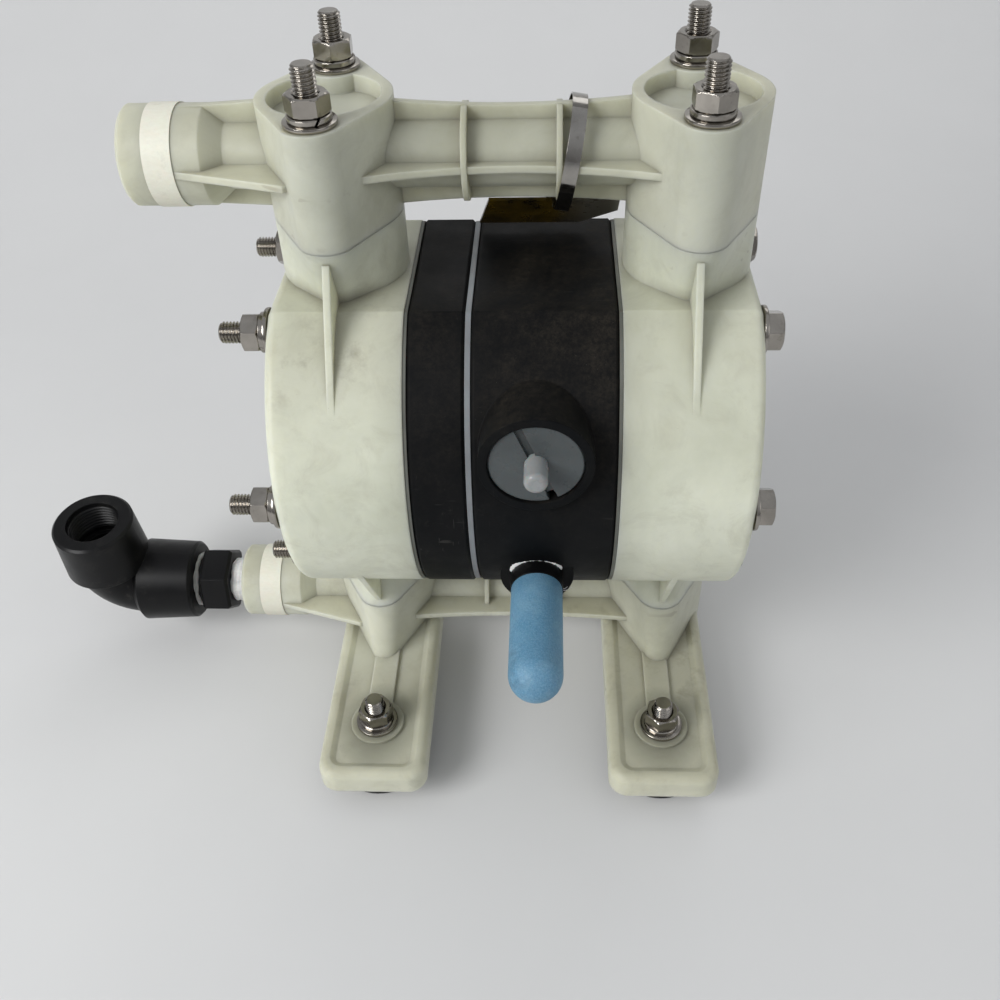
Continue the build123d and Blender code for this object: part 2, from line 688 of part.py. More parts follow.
# ------------------------------------------------------------------ balls, seats and inserts
for name, x, seat_up in (
    ("left_suction_ball", -column_x, -joint_up),
    ("right_suction_ball", column_x, -joint_up),
    ("left_discharge_ball", -column_x, joint_up),
    ("right_discharge_ball", column_x, joint_up),
):
    with BuildPart(level(seat_up + ball_seat_rise)) as ball:
        with Locations((x, 0)):
            Sphere(ball_r)
    finish(ball, name)

with BuildPart() as suction_seats:
    extrude(ring(level(-joint_up), seat_r, seat_bore_r, column_centres), amount=-seat_thk)
finish(suction_seats, "suction_seats")

with BuildPart() as discharge_seats:
    extrude(ring(level(joint_up), seat_r, seat_bore_r, column_centres), amount=-seat_thk)
finish(discharge_seats, "discharge_seats")

with BuildPart() as seat_seals:
    for up in (joint_up, -joint_up):
        extrude(ring(level(up - seat_thk), seat_r, passage_r, column_centres), amount=-seat_seal_thk)
finish(seat_seals, "seat_seals")

with BuildPart() as neck_inserts:
    for side in (1, -1):
        sleeves = ring(level(side * joint_up), insert_r, thread_r + fixed_clearance, stud_places)
        extrude(sleeves, amount=-side * insert_length)
finish(neck_inserts, "neck_inserts")

# ------------------------------------------------------------------ spool valve
port_ys = [step * port_step for step in (-2, -1, 0, 1, 2)]
with BuildPart() as spool_sleeve:
    body = ring(facing_front(valve_x, sleeve_back_y, valve_up), valve_bore_r - fixed_clearance, sleeve_bore_r)
    extrude(body, amount=sleeve_back_y - cap_back_y)
    for y in port_ys:
        groove_y = y + port_groove_width / 2
        groove = ring(facing_front(valve_x, groove_y, valve_up), valve_bore_r, valve_bore_r - port_groove)
        extrude(groove, amount=port_groove_width, mode=Mode.SUBTRACT)
        port = Plane(origin=(valve_x - valve_bore_r, y, shaft_height + valve_up), x_dir=(0, 1, 0), z_dir=(1, 0, 0))
        extrude(disc(port, sleeve_port_r), amount=2 * valve_bore_r, mode=Mode.SUBTRACT)
finish(spool_sleeve, "spool_sleeve")

with BuildPart() as valve_spool:
    spool_r = sleeve_bore_r - running_clearance
    extrude(disc(facing_front(valve_x, spool_back_y, valve_up), spool_r), amount=spool_length)
    chamfer(valve_spool.edges(), 0.6)
    for y in (-2 * port_step - 2, -3):
        waist = ring(facing_front(valve_x, y + spool_waist_length, valve_up), sleeve_bore_r, spool_waist_r)
        extrude(waist, amount=spool_waist_length, mode=Mode.SUBTRACT)
finish(valve_spool, "valve_spool")

with BuildPart() as valve_cap:
    extrude(disc(facing_front(valve_x, cap_seat_y, valve_up), cap_r), amount=cap_seat_y - cap_front_y)
    chamfer(valve_cap.edges().group_by(Axis.Y)[0], 0.6)
    spigot = disc(facing_front(valve_x, cap_back_y, valve_up), valve_bore_r - fixed_clearance)
    extrude(spigot, amount=cap_back_y - cap_seat_y)
    well = disc(facing_front(valve_x, cap_front_y, valve_up), button_r + running_clearance)
    extrude(well, amount=cap_front_y - button_well_y, mode=Mode.SUBTRACT)
    stem_hole = disc(facing_front(valve_x, cap_front_y, valve_up), button_stem_r + running_clearance)
    extrude(stem_hole, amount=cap_front_y - cap_back_y, mode=Mode.SUBTRACT)
    with BuildSketch(facing_front(valve_x, cap_front_y, valve_up)):
        Rectangle(2 * cap_r, cap_slot_width, rotation=cap_slot_turn)
    extrude(amount=-cap_slot_depth, mode=Mode.SUBTRACT)
    with BuildSketch(facing_front(valve_x, cap_front_y, valve_up)):
        with PolarLocations(cap_r, 1, start_angle=cap_slot_turn - 180):
            Rectangle(2 * cap_notch, cap_notch)
    extrude(amount=-cap_thk, mode=Mode.SUBTRACT)
finish(valve_cap, "valve_cap")

button_stem_end = spool_front_y - button_spool_gap
with BuildPart() as reset_button:
    knob = disc(facing_front(valve_x, button_shoulder_y, valve_up), button_r)
    extrude(knob, amount=button_shoulder_y - button_front_y)
    fillet(reset_button.edges().group_by(Axis.Y)[0], button_edge)
    stem = disc(facing_front(valve_x, button_stem_end, valve_up), button_stem_r)
    extrude(stem, amount=button_stem_end - button_shoulder_y)
    stop_y = cap_back_y + fixed_clearance + button_stop_thk
    extrude(disc(facing_front(valve_x, stop_y, valve_up), button_stop_r), amount=button_stop_thk)
finish(reset_button, "reset_button")

spring_length = button_well_y - button_shoulder_y - 2 * rest_gap
spring_pitch = (spring_length - spring_wire) / spring_turns
spring_r = (button_r + button_stem_r) / 2
with BuildPart() as reset_spring:
    start_y = button_well_y - rest_gap - spring_wire / 2
    with BuildLine() as coil:
        Helix(
            spring_pitch,
            spring_length - spring_wire,
            spring_r,
            center=(valve_x, start_y, shaft_height + valve_up),
            direction=(0, -1, 0),
        )
    with BuildSketch(Plane(origin=coil.line @ 0, z_dir=coil.line % 0)):
        Circle(spring_wire / 2)
    sweep(path=coil.line)
finish(reset_spring, "reset_spring")

# ------------------------------------------------------------------ exhaust silencer
silencer_start_y = exhaust_boss_y - collar_thk
silencer_tip_y = silencer_start_y - silencer_length
with BuildPart() as exhaust_collar:
    collar = ring(facing_front(valve_x, exhaust_boss_y, exhaust_up), collar_r, exhaust_bore_r)
    extrude(collar, amount=collar_thk)
finish(exhaust_collar, "exhaust_collar")

with BuildPart() as silencer:
    neck_y = silencer_start_y + silencer_neck
    extrude(disc(facing_front(valve_x, neck_y, exhaust_up), exhaust_bore_r - fixed_clearance), amount=silencer_neck)
    dome_y = silencer_tip_y + silencer_r
    barrel = disc(facing_front(valve_x, silencer_start_y, exhaust_up), silencer_r)
    extrude(barrel, amount=silencer_start_y - dome_y)
    inner_r = silencer_r - silencer_wall
    with Locations((valve_x, dome_y, shaft_height + exhaust_up)):
        Sphere(silencer_r)
    extrude(disc(facing_front(valve_x, neck_y, exhaust_up), inner_r), amount=neck_y - dome_y, mode=Mode.SUBTRACT)
    with Locations((valve_x, dome_y, shaft_height + exhaust_up)):
        Sphere(inner_r, mode=Mode.SUBTRACT)
finish(silencer, "silencer")

# ------------------------------------------------------------------ tie bolts through the body
nut_x = face_x + washer_thk + spring_washer_thk
head_x = face_x + washer_thk
tie_spots = [
    (tie_circle_r * cos(radians(turn)), tie_circle_r * sin(radians(turn)))
    for turn in range(0, 360, 360 // tie_count)
]
with BuildPart() as tie_bolts:
    extrude(hexagon(across(head_x), hex_across, places=tie_spots), amount=head_thk)
    tie_end = nut_x + nut_thk + tie_thread_beyond_nut
    extrude(disc(across(head_x), thread_r, tie_spots), amount=-head_x - tie_end)
finish(tie_bolts, "tie_bolts")

with BuildPart() as tie_flat_washers:
    for x, way in ((face_x, 1), (-face_x, -1)):
        extrude(ring(across(x), washer_r, washer_hole_r, tie_spots), amount=way * washer_thk)
finish(tie_flat_washers, "tie_flat_washers")

with BuildPart() as tie_spring_washers:
    spring_ring = ring(across(-head_x), spring_washer_r, washer_hole_r, tie_spots)
    extrude(spring_ring, amount=-spring_washer_thk)
finish(tie_spring_washers, "tie_spring_washers")

with BuildPart() as tie_nuts:
    extrude(hexagon(across(-nut_x), hex_across, thread_r + fixed_clearance, tie_spots), amount=-nut_thk)
finish(tie_nuts, "tie_nuts")

# ------------------------------------------------------------------ studs on top of the columns
with BuildPart() as top_studs:
    stud_low = joint_up - insert_length + 0.5
    extrude(disc(level(stud_low), thread_r, stud_places), amount=flange_up + stud_beyond_flange - stud_low)
finish(top_studs, "top_studs")

with BuildPart() as top_flat_washers:
    extrude(ring(level(flange_up), washer_r, washer_hole_r, stud_places), amount=washer_thk)
finish(top_flat_washers, "top_flat_washers")

with BuildPart() as top_spring_washers:
    spring_ring = ring(level(flange_up + washer_thk), spring_washer_r, washer_hole_r, stud_places)
    extrude(spring_ring, amount=spring_washer_thk)
finish(top_spring_washers, "top_spring_washers")

with BuildPart() as top_nuts:
    nut_up = flange_up + washer_thk + spring_washer_thk
    extrude(hexagon(level(nut_up), hex_across, thread_r + fixed_clearance, stud_places), amount=nut_thk)
finish(top_nuts, "top_nuts")

# ------------------------------------------------------------------ bolts up through the feet
with BuildPart() as base_bolts:
    extrude(hexagon(level(base_head_up), hex_across, places=stud_places), amount=head_thk)
    bolt_end = -joint_up + insert_length - 0.5
    extrude(disc(level(base_washer_up), thread_r, stud_places), amount=bolt_end - base_washer_up)
finish(base_bolts, "base_bolts")

with BuildPart() as base_washers:
    extrude(ring(level(base_washer_up), washer_r, washer_hole_r, stud_places), amount=washer_thk)
finish(base_washers, "base_washers")

# ------------------------------------------------------------------ rubber feet and their bolts
rubber_top = Plane.XY.offset(rubber_height)
with BuildPart() as rubber_feet:
    extrude(disc(Plane.XY, rubber_r, foot_bolt_places), amount=rubber_height)
    edges = rubber_feet.edges().filter_by(GeomType.CIRCLE).group_by(Axis.Z)
    chamfer(edges[0] + edges[-1], 1.2)
    pocket = disc(rubber_top, isolator_plate_r + fixed_clearance, foot_bolt_places)
    extrude(pocket, amount=-isolator_plate_thk, mode=Mode.SUBTRACT)
    insert_pocket = disc(Plane.XY, isolator_insert_r + fixed_clearance, foot_bolt_places)
    extrude(insert_pocket, amount=isolator_insert_depth, mode=Mode.SUBTRACT)
finish(rubber_feet, "rubber_feet")

with BuildPart() as foot_inserts:
    extrude(ring(Plane.XY, isolator_insert_r, isolator_thread_r, foot_bolt_places), amount=isolator_insert_depth)
finish(foot_inserts, "foot_inserts")

with BuildPart() as foot_studs:
    extrude(disc(rubber_top, isolator_plate_r, foot_bolt_places), amount=-isolator_plate_thk)
    extrude(disc(rubber_top, thread_r, foot_bolt_places), amount=isolator_stud_height)
finish(foot_studs, "foot_studs")

with BuildPart() as foot_flat_washers:
    plane = Plane.XY.offset(foot_top)
    extrude(ring(plane, washer_r, washer_hole_r, foot_bolt_places), amount=washer_thk)
finish(foot_flat_washers, "foot_flat_washers")

with BuildPart() as foot_spring_washers:
    plane = Plane.XY.offset(foot_top + washer_thk)
    extrude(ring(plane, spring_washer_r, washer_hole_r, foot_bolt_places), amount=spring_washer_thk)
finish(foot_spring_washers, "foot_spring_washers")

with BuildPart() as foot_nuts:
    plane = Plane.XY.offset(foot_top + washer_thk + spring_washer_thk)
    extrude(hexagon(plane, hex_across, thread_r + fixed_clearance, foot_bolt_places), amount=nut_thk)
finish(foot_nuts, "foot_nuts")

# ------------------------------------------------------------------ inlet nipple and elbow
hex_x = port_end_x - nipple_gap
hex_end_x = hex_x - nipple_hex_length
mouth_x = hex_end_x - elbow_gap
elbow_x = mouth_x - elbow_reach
elbow_run = elbow_bend_r + elbow_straight
inlet_axis = [(0, -header_up)]
lean = radians(elbow_clock)
elbow_plane = Plane(origin=(elbow_x, 0, inlet_height), x_dir=(1, 0, 0), z_dir=(0, -cos(lean), -sin(lean)))
with BuildPart() as inlet_nipple:
    extrude(hexagon(across(hex_x), nipple_hex_across, places=inlet_axis, turn=nipple_hex_turn), amount=-nipple_hex_length)
    chamfer(inlet_nipple.faces().filter_by(Axis.X).edges(), 1.2)
    extrude(disc(across(hex_x), nipple_port_r, inlet_axis), amount=nipple_gap + nipple_port_depth)
    elbow_thread = disc(across(hex_end_x), elbow_thread_r - fixed_clearance, inlet_axis)
    extrude(elbow_thread, amount=-elbow_gap - nipple_elbow_depth)
    extrude(disc(across(0), nipple_bore_r, inlet_axis), amount=2 * elbow_x, mode=Mode.SUBTRACT)
finish(inlet_nipple, "inlet_nipple")

with BuildPart() as inlet_elbow:
    with BuildLine(elbow_plane) as bend:
        Line((elbow_run, 0), (elbow_bend_r, 0))
        RadiusArc((elbow_bend_r, 0), (0, elbow_bend_r), elbow_bend_r)
        Line((0, elbow_bend_r), (0, elbow_run))
    sweep(disc(across(elbow_x + elbow_run), elbow_body_r, inlet_axis), path=bend.line)
    sockets = [
        (0, 0),
        (0, elbow_socket_root_r - elbow_socket_edge),
        (elbow_socket_edge, elbow_socket_root_r),
        (elbow_socket_length - elbow_lip, elbow_socket_r),
        (elbow_socket_length, elbow_socket_r - elbow_lip),
        (elbow_socket_length, 0),
    ]
    inner = elbow_reach - elbow_socket_length
    socket_x = profile(elbow_plane, [(inner + run, rise) for run, rise in sockets])
    revolve(socket_x, axis=Axis(elbow_plane.origin, elbow_plane.x_dir))
    socket_z = profile(elbow_plane, [(rise, inner + run) for run, rise in sockets])
    revolve(socket_z, axis=Axis(elbow_plane.origin, elbow_plane.y_dir))
    bore = disc(across(elbow_x + elbow_run), elbow_bore_r, inlet_axis)
    sweep(bore, path=bend.line, mode=Mode.SUBTRACT)
    run_mouth = Plane(origin=elbow_plane.from_local_coords((elbow_reach, 0, 0)), z_dir=elbow_plane.x_dir)
    open_mouth = Plane(origin=elbow_plane.from_local_coords((0, elbow_reach, 0)), z_dir=elbow_plane.y_dir)
    for mouth in (run_mouth, open_mouth):
        extrude(disc(mouth, elbow_thread_r), amount=-elbow_thread_depth, mode=Mode.SUBTRACT)
        extrude(disc(mouth, elbow_bore_r), amount=elbow_run - elbow_reach - 1, mode=Mode.SUBTRACT)
finish(inlet_elbow, "inlet_elbow")

# ------------------------------------------------------------------ sealing tape and label bands
with BuildPart() as thread_tapes:
    port_tape = ring(across(port_end_x), nipple_port_r + tape_thk, nipple_port_r + fixed_clearance, inlet_axis)
    extrude(port_tape, amount=-nipple_gap)
    elbow_tape = ring(across(hex_end_x), elbow_thread_r + tape_thk, elbow_thread_r, inlet_axis)
    extrude(elbow_tape, amount=-elbow_gap)
finish(thread_tapes, "thread_tapes")

with BuildPart() as label_bands:
    band_inner_r = port_r + fixed_clearance
    for up in (header_up, -header_up):
        band = ring(across(port_end_x + band_start), band_inner_r + band_thk, band_inner_r, [(0, up)])
        extrude(band, amount=band_width)
finish(label_bands, "label_bands")

# ------------------------------------------------------------------ strap and tag
strap_inner_y = arc_rise(fin_side, fin_side_root, strap_x + strap_width / 2) + 3 * rest_gap
strap_inner_z = arc_rise(fin_rise, fin_rise_root, strap_x + strap_width) + strap_slack
strap_plane = Plane(
    origin=(strap_x, 0, outlet_height - strap_drop),
    x_dir=(0, 1, 0),
    z_dir=(cos(radians(strap_lean)), 0, -sin(radians(strap_lean))),
)
with BuildPart() as tag_strap:
    with BuildSketch(strap_plane):
        Ellipse(strap_inner_y + strap_thk, strap_inner_z + strap_thk)
        Ellipse(strap_inner_y, strap_inner_z, mode=Mode.SUBTRACT)
    extrude(amount=strap_width / 2, both=True)
finish(tag_strap, "tag_strap")

pitch = radians(tag_pitch)
hang_y = strap_inner_y * 0.3
hang_z = (strap_inner_z + strap_thk / 2) * sqrt(1 - 0.3**2)
tag_x = strap_x - hang_z * sin(radians(strap_lean))
tag_plane = Plane(
    origin=(tag_x, hang_y, outlet_height - strap_drop - hang_z * cos(radians(strap_lean))),
    x_dir=(1, 0, 0),
    z_dir=(0, -sin(pitch), -cos(pitch)),
)
with BuildPart() as tag_plate:
    with BuildSketch(tag_plane):
        with BuildLine():
            low = -tag_tab_length / 2 - tag_width
            shoulder = -tag_tab_length / 2
            left = tag_offset - tag_length / 2
            right = tag_offset + tag_length / 2
            Polyline(
                (-tag_tab_width / 2, tag_tab_length / 2),
                (-tag_tab_width / 2, shoulder),
                (left + tag_slant, shoulder),
                (left, low),
                (right - tag_corner, low),
                (right, low + tag_corner),
                (right, shoulder),
                (tag_tab_width / 2, shoulder),
                (tag_tab_width / 2, tag_tab_length / 2),
                close=True,
            )
        make_face()
        Rectangle(strap_width + 1.6, 2.6, mode=Mode.SUBTRACT)
    extrude(amount=tag_thk / 2, both=True)
finish(tag_plate, "tag_plate")
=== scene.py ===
import json
import math

import bmesh
import bpy
from mathutils import Matrix, Vector


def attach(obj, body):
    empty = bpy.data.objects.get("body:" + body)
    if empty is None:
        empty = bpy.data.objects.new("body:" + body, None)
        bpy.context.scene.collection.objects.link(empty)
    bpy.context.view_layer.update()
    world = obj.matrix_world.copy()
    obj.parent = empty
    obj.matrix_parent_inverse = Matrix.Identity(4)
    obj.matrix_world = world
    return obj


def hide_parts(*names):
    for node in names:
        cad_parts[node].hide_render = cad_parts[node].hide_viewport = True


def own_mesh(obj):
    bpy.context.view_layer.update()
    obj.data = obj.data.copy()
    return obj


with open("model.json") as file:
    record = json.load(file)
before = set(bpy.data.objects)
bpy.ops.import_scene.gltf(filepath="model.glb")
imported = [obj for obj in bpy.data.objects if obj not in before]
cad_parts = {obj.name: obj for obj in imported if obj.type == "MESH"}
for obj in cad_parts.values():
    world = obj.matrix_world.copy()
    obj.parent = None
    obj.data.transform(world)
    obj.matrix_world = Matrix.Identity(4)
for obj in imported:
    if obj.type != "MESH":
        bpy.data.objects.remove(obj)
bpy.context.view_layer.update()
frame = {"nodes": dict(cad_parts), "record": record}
nodes = frame["nodes"]
scene = bpy.context.scene

# Places that several pieces share, in metres
AX = 0.142  # height of the shaft
COL_X = 0.0635  # columns, either side of the middle
FOOT_X = 0.062  # feet, either side of the middle
INLET_Z = 0.0335  # height of the lower pipe and its inlet
VALVE_X, VALVE_Z = 0.0084, 0.1718  # axis of the air valve
LEFT, RIGHT, UP = (-1, 0, 0), (1, 0, 0), (0, 0, 1)

# ------------------------------------------------------------------ camera, solved from the photograph
CAMERA_POS = (0.0122, -0.3444, 0.3982)
CAMERA_PITCH = math.radians(42.06)  # looks down
CAMERA_YAW = math.radians(3.55)
CAMERA_ROLL = math.radians(2.17)
CAMERA_LENS = 36.76  # mm, on a sensor 36 mm wide


def place_camera():
    cp, sp = math.cos(CAMERA_PITCH), math.sin(CAMERA_PITCH)
    cr, sr = math.cos(CAMERA_ROLL), math.sin(CAMERA_ROLL)
    right = Vector((1, 0, 0))
    forward = Vector((0, cp, -sp))
    down = Vector((0, -sp, -cp))
    turn = Matrix.Rotation(CAMERA_YAW, 3, "Z")
    axes = (turn @ (cr * right + sr * down), -(turn @ (-sr * right + cr * down)), -(turn @ forward))
    data = bpy.data.cameras.new("camera")
    data.sensor_fit = "HORIZONTAL"
    data.sensor_width = 36.0
    data.lens = CAMERA_LENS
    data.clip_start = 0.01
    data.clip_end = 20.0
    cam = bpy.data.objects.new("camera", data)
    scene.collection.objects.link(cam)
    cam.matrix_world = Matrix.Translation(CAMERA_POS) @ Matrix(axes).transposed().to_4x4()
    scene.camera = cam


place_camera()


# ------------------------------------------------------------------ node helper
class Tree:
    """Builds one procedural material. Each call adds a node and gives its result's socket."""

    def __init__(self, name):
        self.mat = bpy.data.materials.new(name)
        self.mat.use_nodes = True
        self.t = self.mat.node_tree
        self.t.nodes.clear()
        out = self.t.nodes.new("ShaderNodeOutputMaterial")
        self.bsdf = self.t.nodes.new("ShaderNodeBsdfPrincipled")
        self.t.links.new(self.bsdf.outputs[0], out.inputs[0])
        self.co = self.t.nodes.new("ShaderNodeTexCoord").outputs["Object"]

    def put(self, sock, value):
        if isinstance(value, bpy.types.NodeSocket):
            self.t.links.new(value, sock)
        elif isinstance(value, (tuple, list)) and len(value) == 3 and sock.type == "RGBA":
            sock.default_value = (*value, 1.0)
        else:
            sock.default_value = value

    def new(self, kind, **inputs):
        node = self.t.nodes.new(kind)
        for key, value in inputs.items():
            self.put(node.inputs[key.replace("_", " ")], value)
        return node

    def set(self, **values):
        for key, value in values.items():
            self.put(self.bsdf.inputs[key.replace("_", " ")], value)

    def noise(self, scale, detail=4.0, rough=0.55, distortion=0.0, stretch=None):
        src = self.co
        if stretch:
            src = self.new("ShaderNodeMapping", Vector=src, Scale=stretch).outputs[0]
        n = self.new("ShaderNodeTexNoise", Vector=src, Scale=scale, Detail=detail)
        self.put(n.inputs["Roughness"], rough)
        self.put(n.inputs["Distortion"], distortion)
        return n.outputs["Fac"]

    def voronoi(self, scale):
        return self.new("ShaderNodeTexVoronoi", Vector=self.co, Scale=scale).outputs["Distance"]

    def ramp(self, fac, lo, hi, a=0.0, b=1.0):
        """Fac between lo and hi becomes a to b, held at both ends."""
        n = self.new("ShaderNodeMapRange", Value=fac, From_Min=lo, From_Max=hi, To_Min=a, To_Max=b)
        return n.outputs[0]

    def math(self, op, a, b=None, clamp=False):
        n = self.t.nodes.new("ShaderNodeMath")
        n.operation = op
        n.use_clamp = clamp
        self.put(n.inputs[0], a)
        if b is not None:
            self.put(n.inputs[1], b)
        return n.outputs[0]

    def times(self, a, b, clamp=False):
        return self.math("MULTIPLY", a, b, clamp)

    def mix(self, fac, a, b):
        n = self.t.nodes.new("ShaderNodeMix")
        n.data_type = "RGBA"
        for place, value in ((0, fac), (6, a), (7, b)):
            self.put(n.inputs[place], value)
        return n.outputs[2]

    def axis(self, which):
        return self.new("ShaderNodeSeparateXYZ", Vector=self.co).outputs[which]

    def facing_up(self):
        normal = self.t.nodes.new("ShaderNodeNewGeometry").outputs["Normal"]
        return self.new("ShaderNodeSeparateXYZ", Vector=normal).outputs[2]

    def soft_edges(self, radius):
        n = self.new("ShaderNodeBevel", Radius=radius)
        n.samples = 4
        return n.outputs[0]

    def crevices(self, reach):
        n = self.new("ShaderNodeAmbientOcclusion", Distance=reach)
        n.samples = 4
        return self.ramp(n.outputs["AO"], 0.35, 0.92, 1.0, 0.0)

    def bump(self, height, strength, distance, normal=None):
        n = self.new("ShaderNodeBump", Strength=strength, Distance=distance, Height=height)
        if normal is not None:
            self.put(n.inputs["Normal"], normal)
        return n.outputs[0]


# ------------------------------------------------------------------ materials
# Soil and wear on the natural plastic, with painted shade in its corners
SMUDGE = (0.36, 0.345, 0.26)
DUST_FILM = (0.37, 0.35, 0.255)
GRIME = (0.20, 0.175, 0.12)
SPECK = (0.10, 0.085, 0.06)
CORNER_SOIL_AND_SHADE = (0.225, 0.205, 0.145)
HAIRLINE = (0.33, 0.31, 0.25)
# Painted shade, standing in for what shows dimly through it
COLUMN_PAINTED_SHADE = (0.40, 0.42, 0.375)
BLACK_SIDE_PAINTED_SHADE = (0.27, 0.275, 0.215)
FOOT_SHADE_AND_GRIME = (0.185, 0.185, 0.14)
# Dust and wear on the black plastics
BLACK_DUST = (0.040, 0.034, 0.026)
BLACK_RUB = (0.070, 0.066, 0.058)
PALE_SPECK = (0.22, 0.21, 0.19)
PALE_SCRATCH = (0.085, 0.082, 0.075)
FITTING_RUB = (0.045, 0.043, 0.038)


def natural_plastic(name, base, warm, shade, dust_amount):
    """Moulded natural polypropylene: milky, with painted shade that greys it over the hollow columns and
    beside the black bodies, cloudy flow marks, grime and painted shade in its corners and fine scuffs."""
    t = Tree(name)
    cloud = t.noise(13.0, 6.0, 0.66, distortion=0.5)
    broad = t.noise(5.0, 2.0, 0.5)
    col = t.mix(t.ramp(broad, 0.35, 0.68), base, warm)
    col = t.mix(t.ramp(cloud, 0.38, 0.68, 0.0, 0.8), col, shade)
    smudge = t.times(t.ramp(t.noise(48.0, 7.0, 0.74, distortion=0.8), 0.50, 0.72), 0.34)
    col = t.mix(smudge, col, SMUDGE)
    up = t.ramp(t.facing_up(), 0.15, 0.9)
    patch = t.noise(20.0, 3.0, 0.5, distortion=0.6)
    film = t.times(up, t.ramp(patch, 0.30, 0.62, 0.35, 1.0))
    col = t.mix(t.times(film, dust_amount, clamp=True), col, DUST_FILM)
    grime = t.times(t.ramp(t.noise(95.0, 6.0, 0.7), 0.52, 0.75), t.ramp(patch, 0.45, 0.7))
    grime = t.times(grime, t.math("ADD", t.times(up, 0.4), 0.18), clamp=True)
    col = t.mix(grime, col, GRIME)
    specks = t.ramp(t.voronoi(330.0), 0.0, 0.045, 1.0, 0.0)
    col = t.mix(t.times(specks, t.ramp(t.noise(40.0, 2.0), 0.60, 0.64)), col, SPECK)
    # Painted shade: greyer over the hollow columns, standing in for their dark passages seen through the
    # plastic.
    from_column = t.math("ABSOLUTE", t.math("SUBTRACT", t.math("ABSOLUTE", t.axis(0)), COL_X))
    column_shade = t.ramp(from_column, 0.003, 0.018, 1.0, 0.0)
    column_shade = t.times(column_shade, t.ramp(t.axis(2), 0.200, 0.232, 0.0, 0.5))
    column_shade = t.times(column_shade, t.ramp(t.noise(11.0, 2.0), 0.3, 0.7, 0.55, 1.0))
    col = t.mix(column_shade, col, COLUMN_PAINTED_SHADE)
    # Painted shade: darker next to the black bodies, standing in for them showing through the plastic.
    beside = t.ramp(t.math("ABSOLUTE", t.axis(0)), 0.036, 0.050, 0.42, 0.0)
    col = t.mix(t.times(beside, t.ramp(t.axis(2), 0.045, 0.060)), col, BLACK_SIDE_PAINTED_SHADE)
    # Soil and painted shade in corners: darkened where nearby faces hem the surface in.
    corners = t.times(t.crevices(0.006), t.ramp(patch, 0.30, 0.65, 0.30, 0.75))
    col = t.mix(corners, col, CORNER_SOIL_AND_SHADE)
    hairs = t.ramp(t.noise(210.0, 2.0, 0.4, stretch=(0.05, 1.0, 1.0), distortion=0.5), 0.70, 0.73)
    hairs = t.times(hairs, t.ramp(t.noise(12.0, 3.0), 0.54, 0.66, 0.0, 0.6))
    col = t.mix(hairs, col, HAIRLINE)
    t.set(Base_Color=col, Roughness=t.ramp(t.noise(120.0, 5.0, 0.7), 0.3, 0.75, 0.34, 0.56))
    t.set(Subsurface_Weight=0.6, Subsurface_Radius=(1.0, 0.95, 0.72), Subsurface_Scale=0.009)
    t.set(IOR=1.49, Specular_IOR_Level=0.4)
    n = t.bump(t.noise(900.0, 3.0, 0.6), 0.10, 0.0002, t.soft_edges(0.0009))
    t.set(Normal=t.bump(t.noise(45.0, 2.0, 0.5), 0.25, 0.0006, n))
    return t, col


def foot_shadow(t, col):
    """Painted shade: dims the plastic over the rubber pads, which show through it, and in the dishes of
    the feet, where grime gathers too.
    """
    pad_y, dish_half_x, dish_half_y = 0.080, 0.0165, 0.0215
    across = t.math("SUBTRACT", t.math("ABSOLUTE", t.axis(0)), FOOT_X)
    along = t.math("SUBTRACT", t.math("ABSOLUTE", t.axis(1)), pad_y)
    a = t.math("POWER", t.math("DIVIDE", t.math("ABSOLUTE", across), dish_half_x), 2.0)
    b = t.math("POWER", t.math("DIVIDE", t.math("ABSOLUTE", along), dish_half_y), 2.0)
    inside = t.ramp(t.math("ADD", a, b), 0.25, 1.15, 1.0, 0.0)
    low = t.ramp(t.axis(2), 0.028, 0.030, 1.0, 0.0)
    amount = t.times(inside, t.times(low, 0.85))
    amount = t.times(amount, t.ramp(t.noise(30.0, 3.0), 0.3, 0.7, 0.6, 1.0), clamp=True)
    # Painted shade of the pads seen through the feet, with grime in the dishes.
    t.set(Base_Color=t.mix(amount, col, FOOT_SHADE_AND_GRIME))
    return t.mat


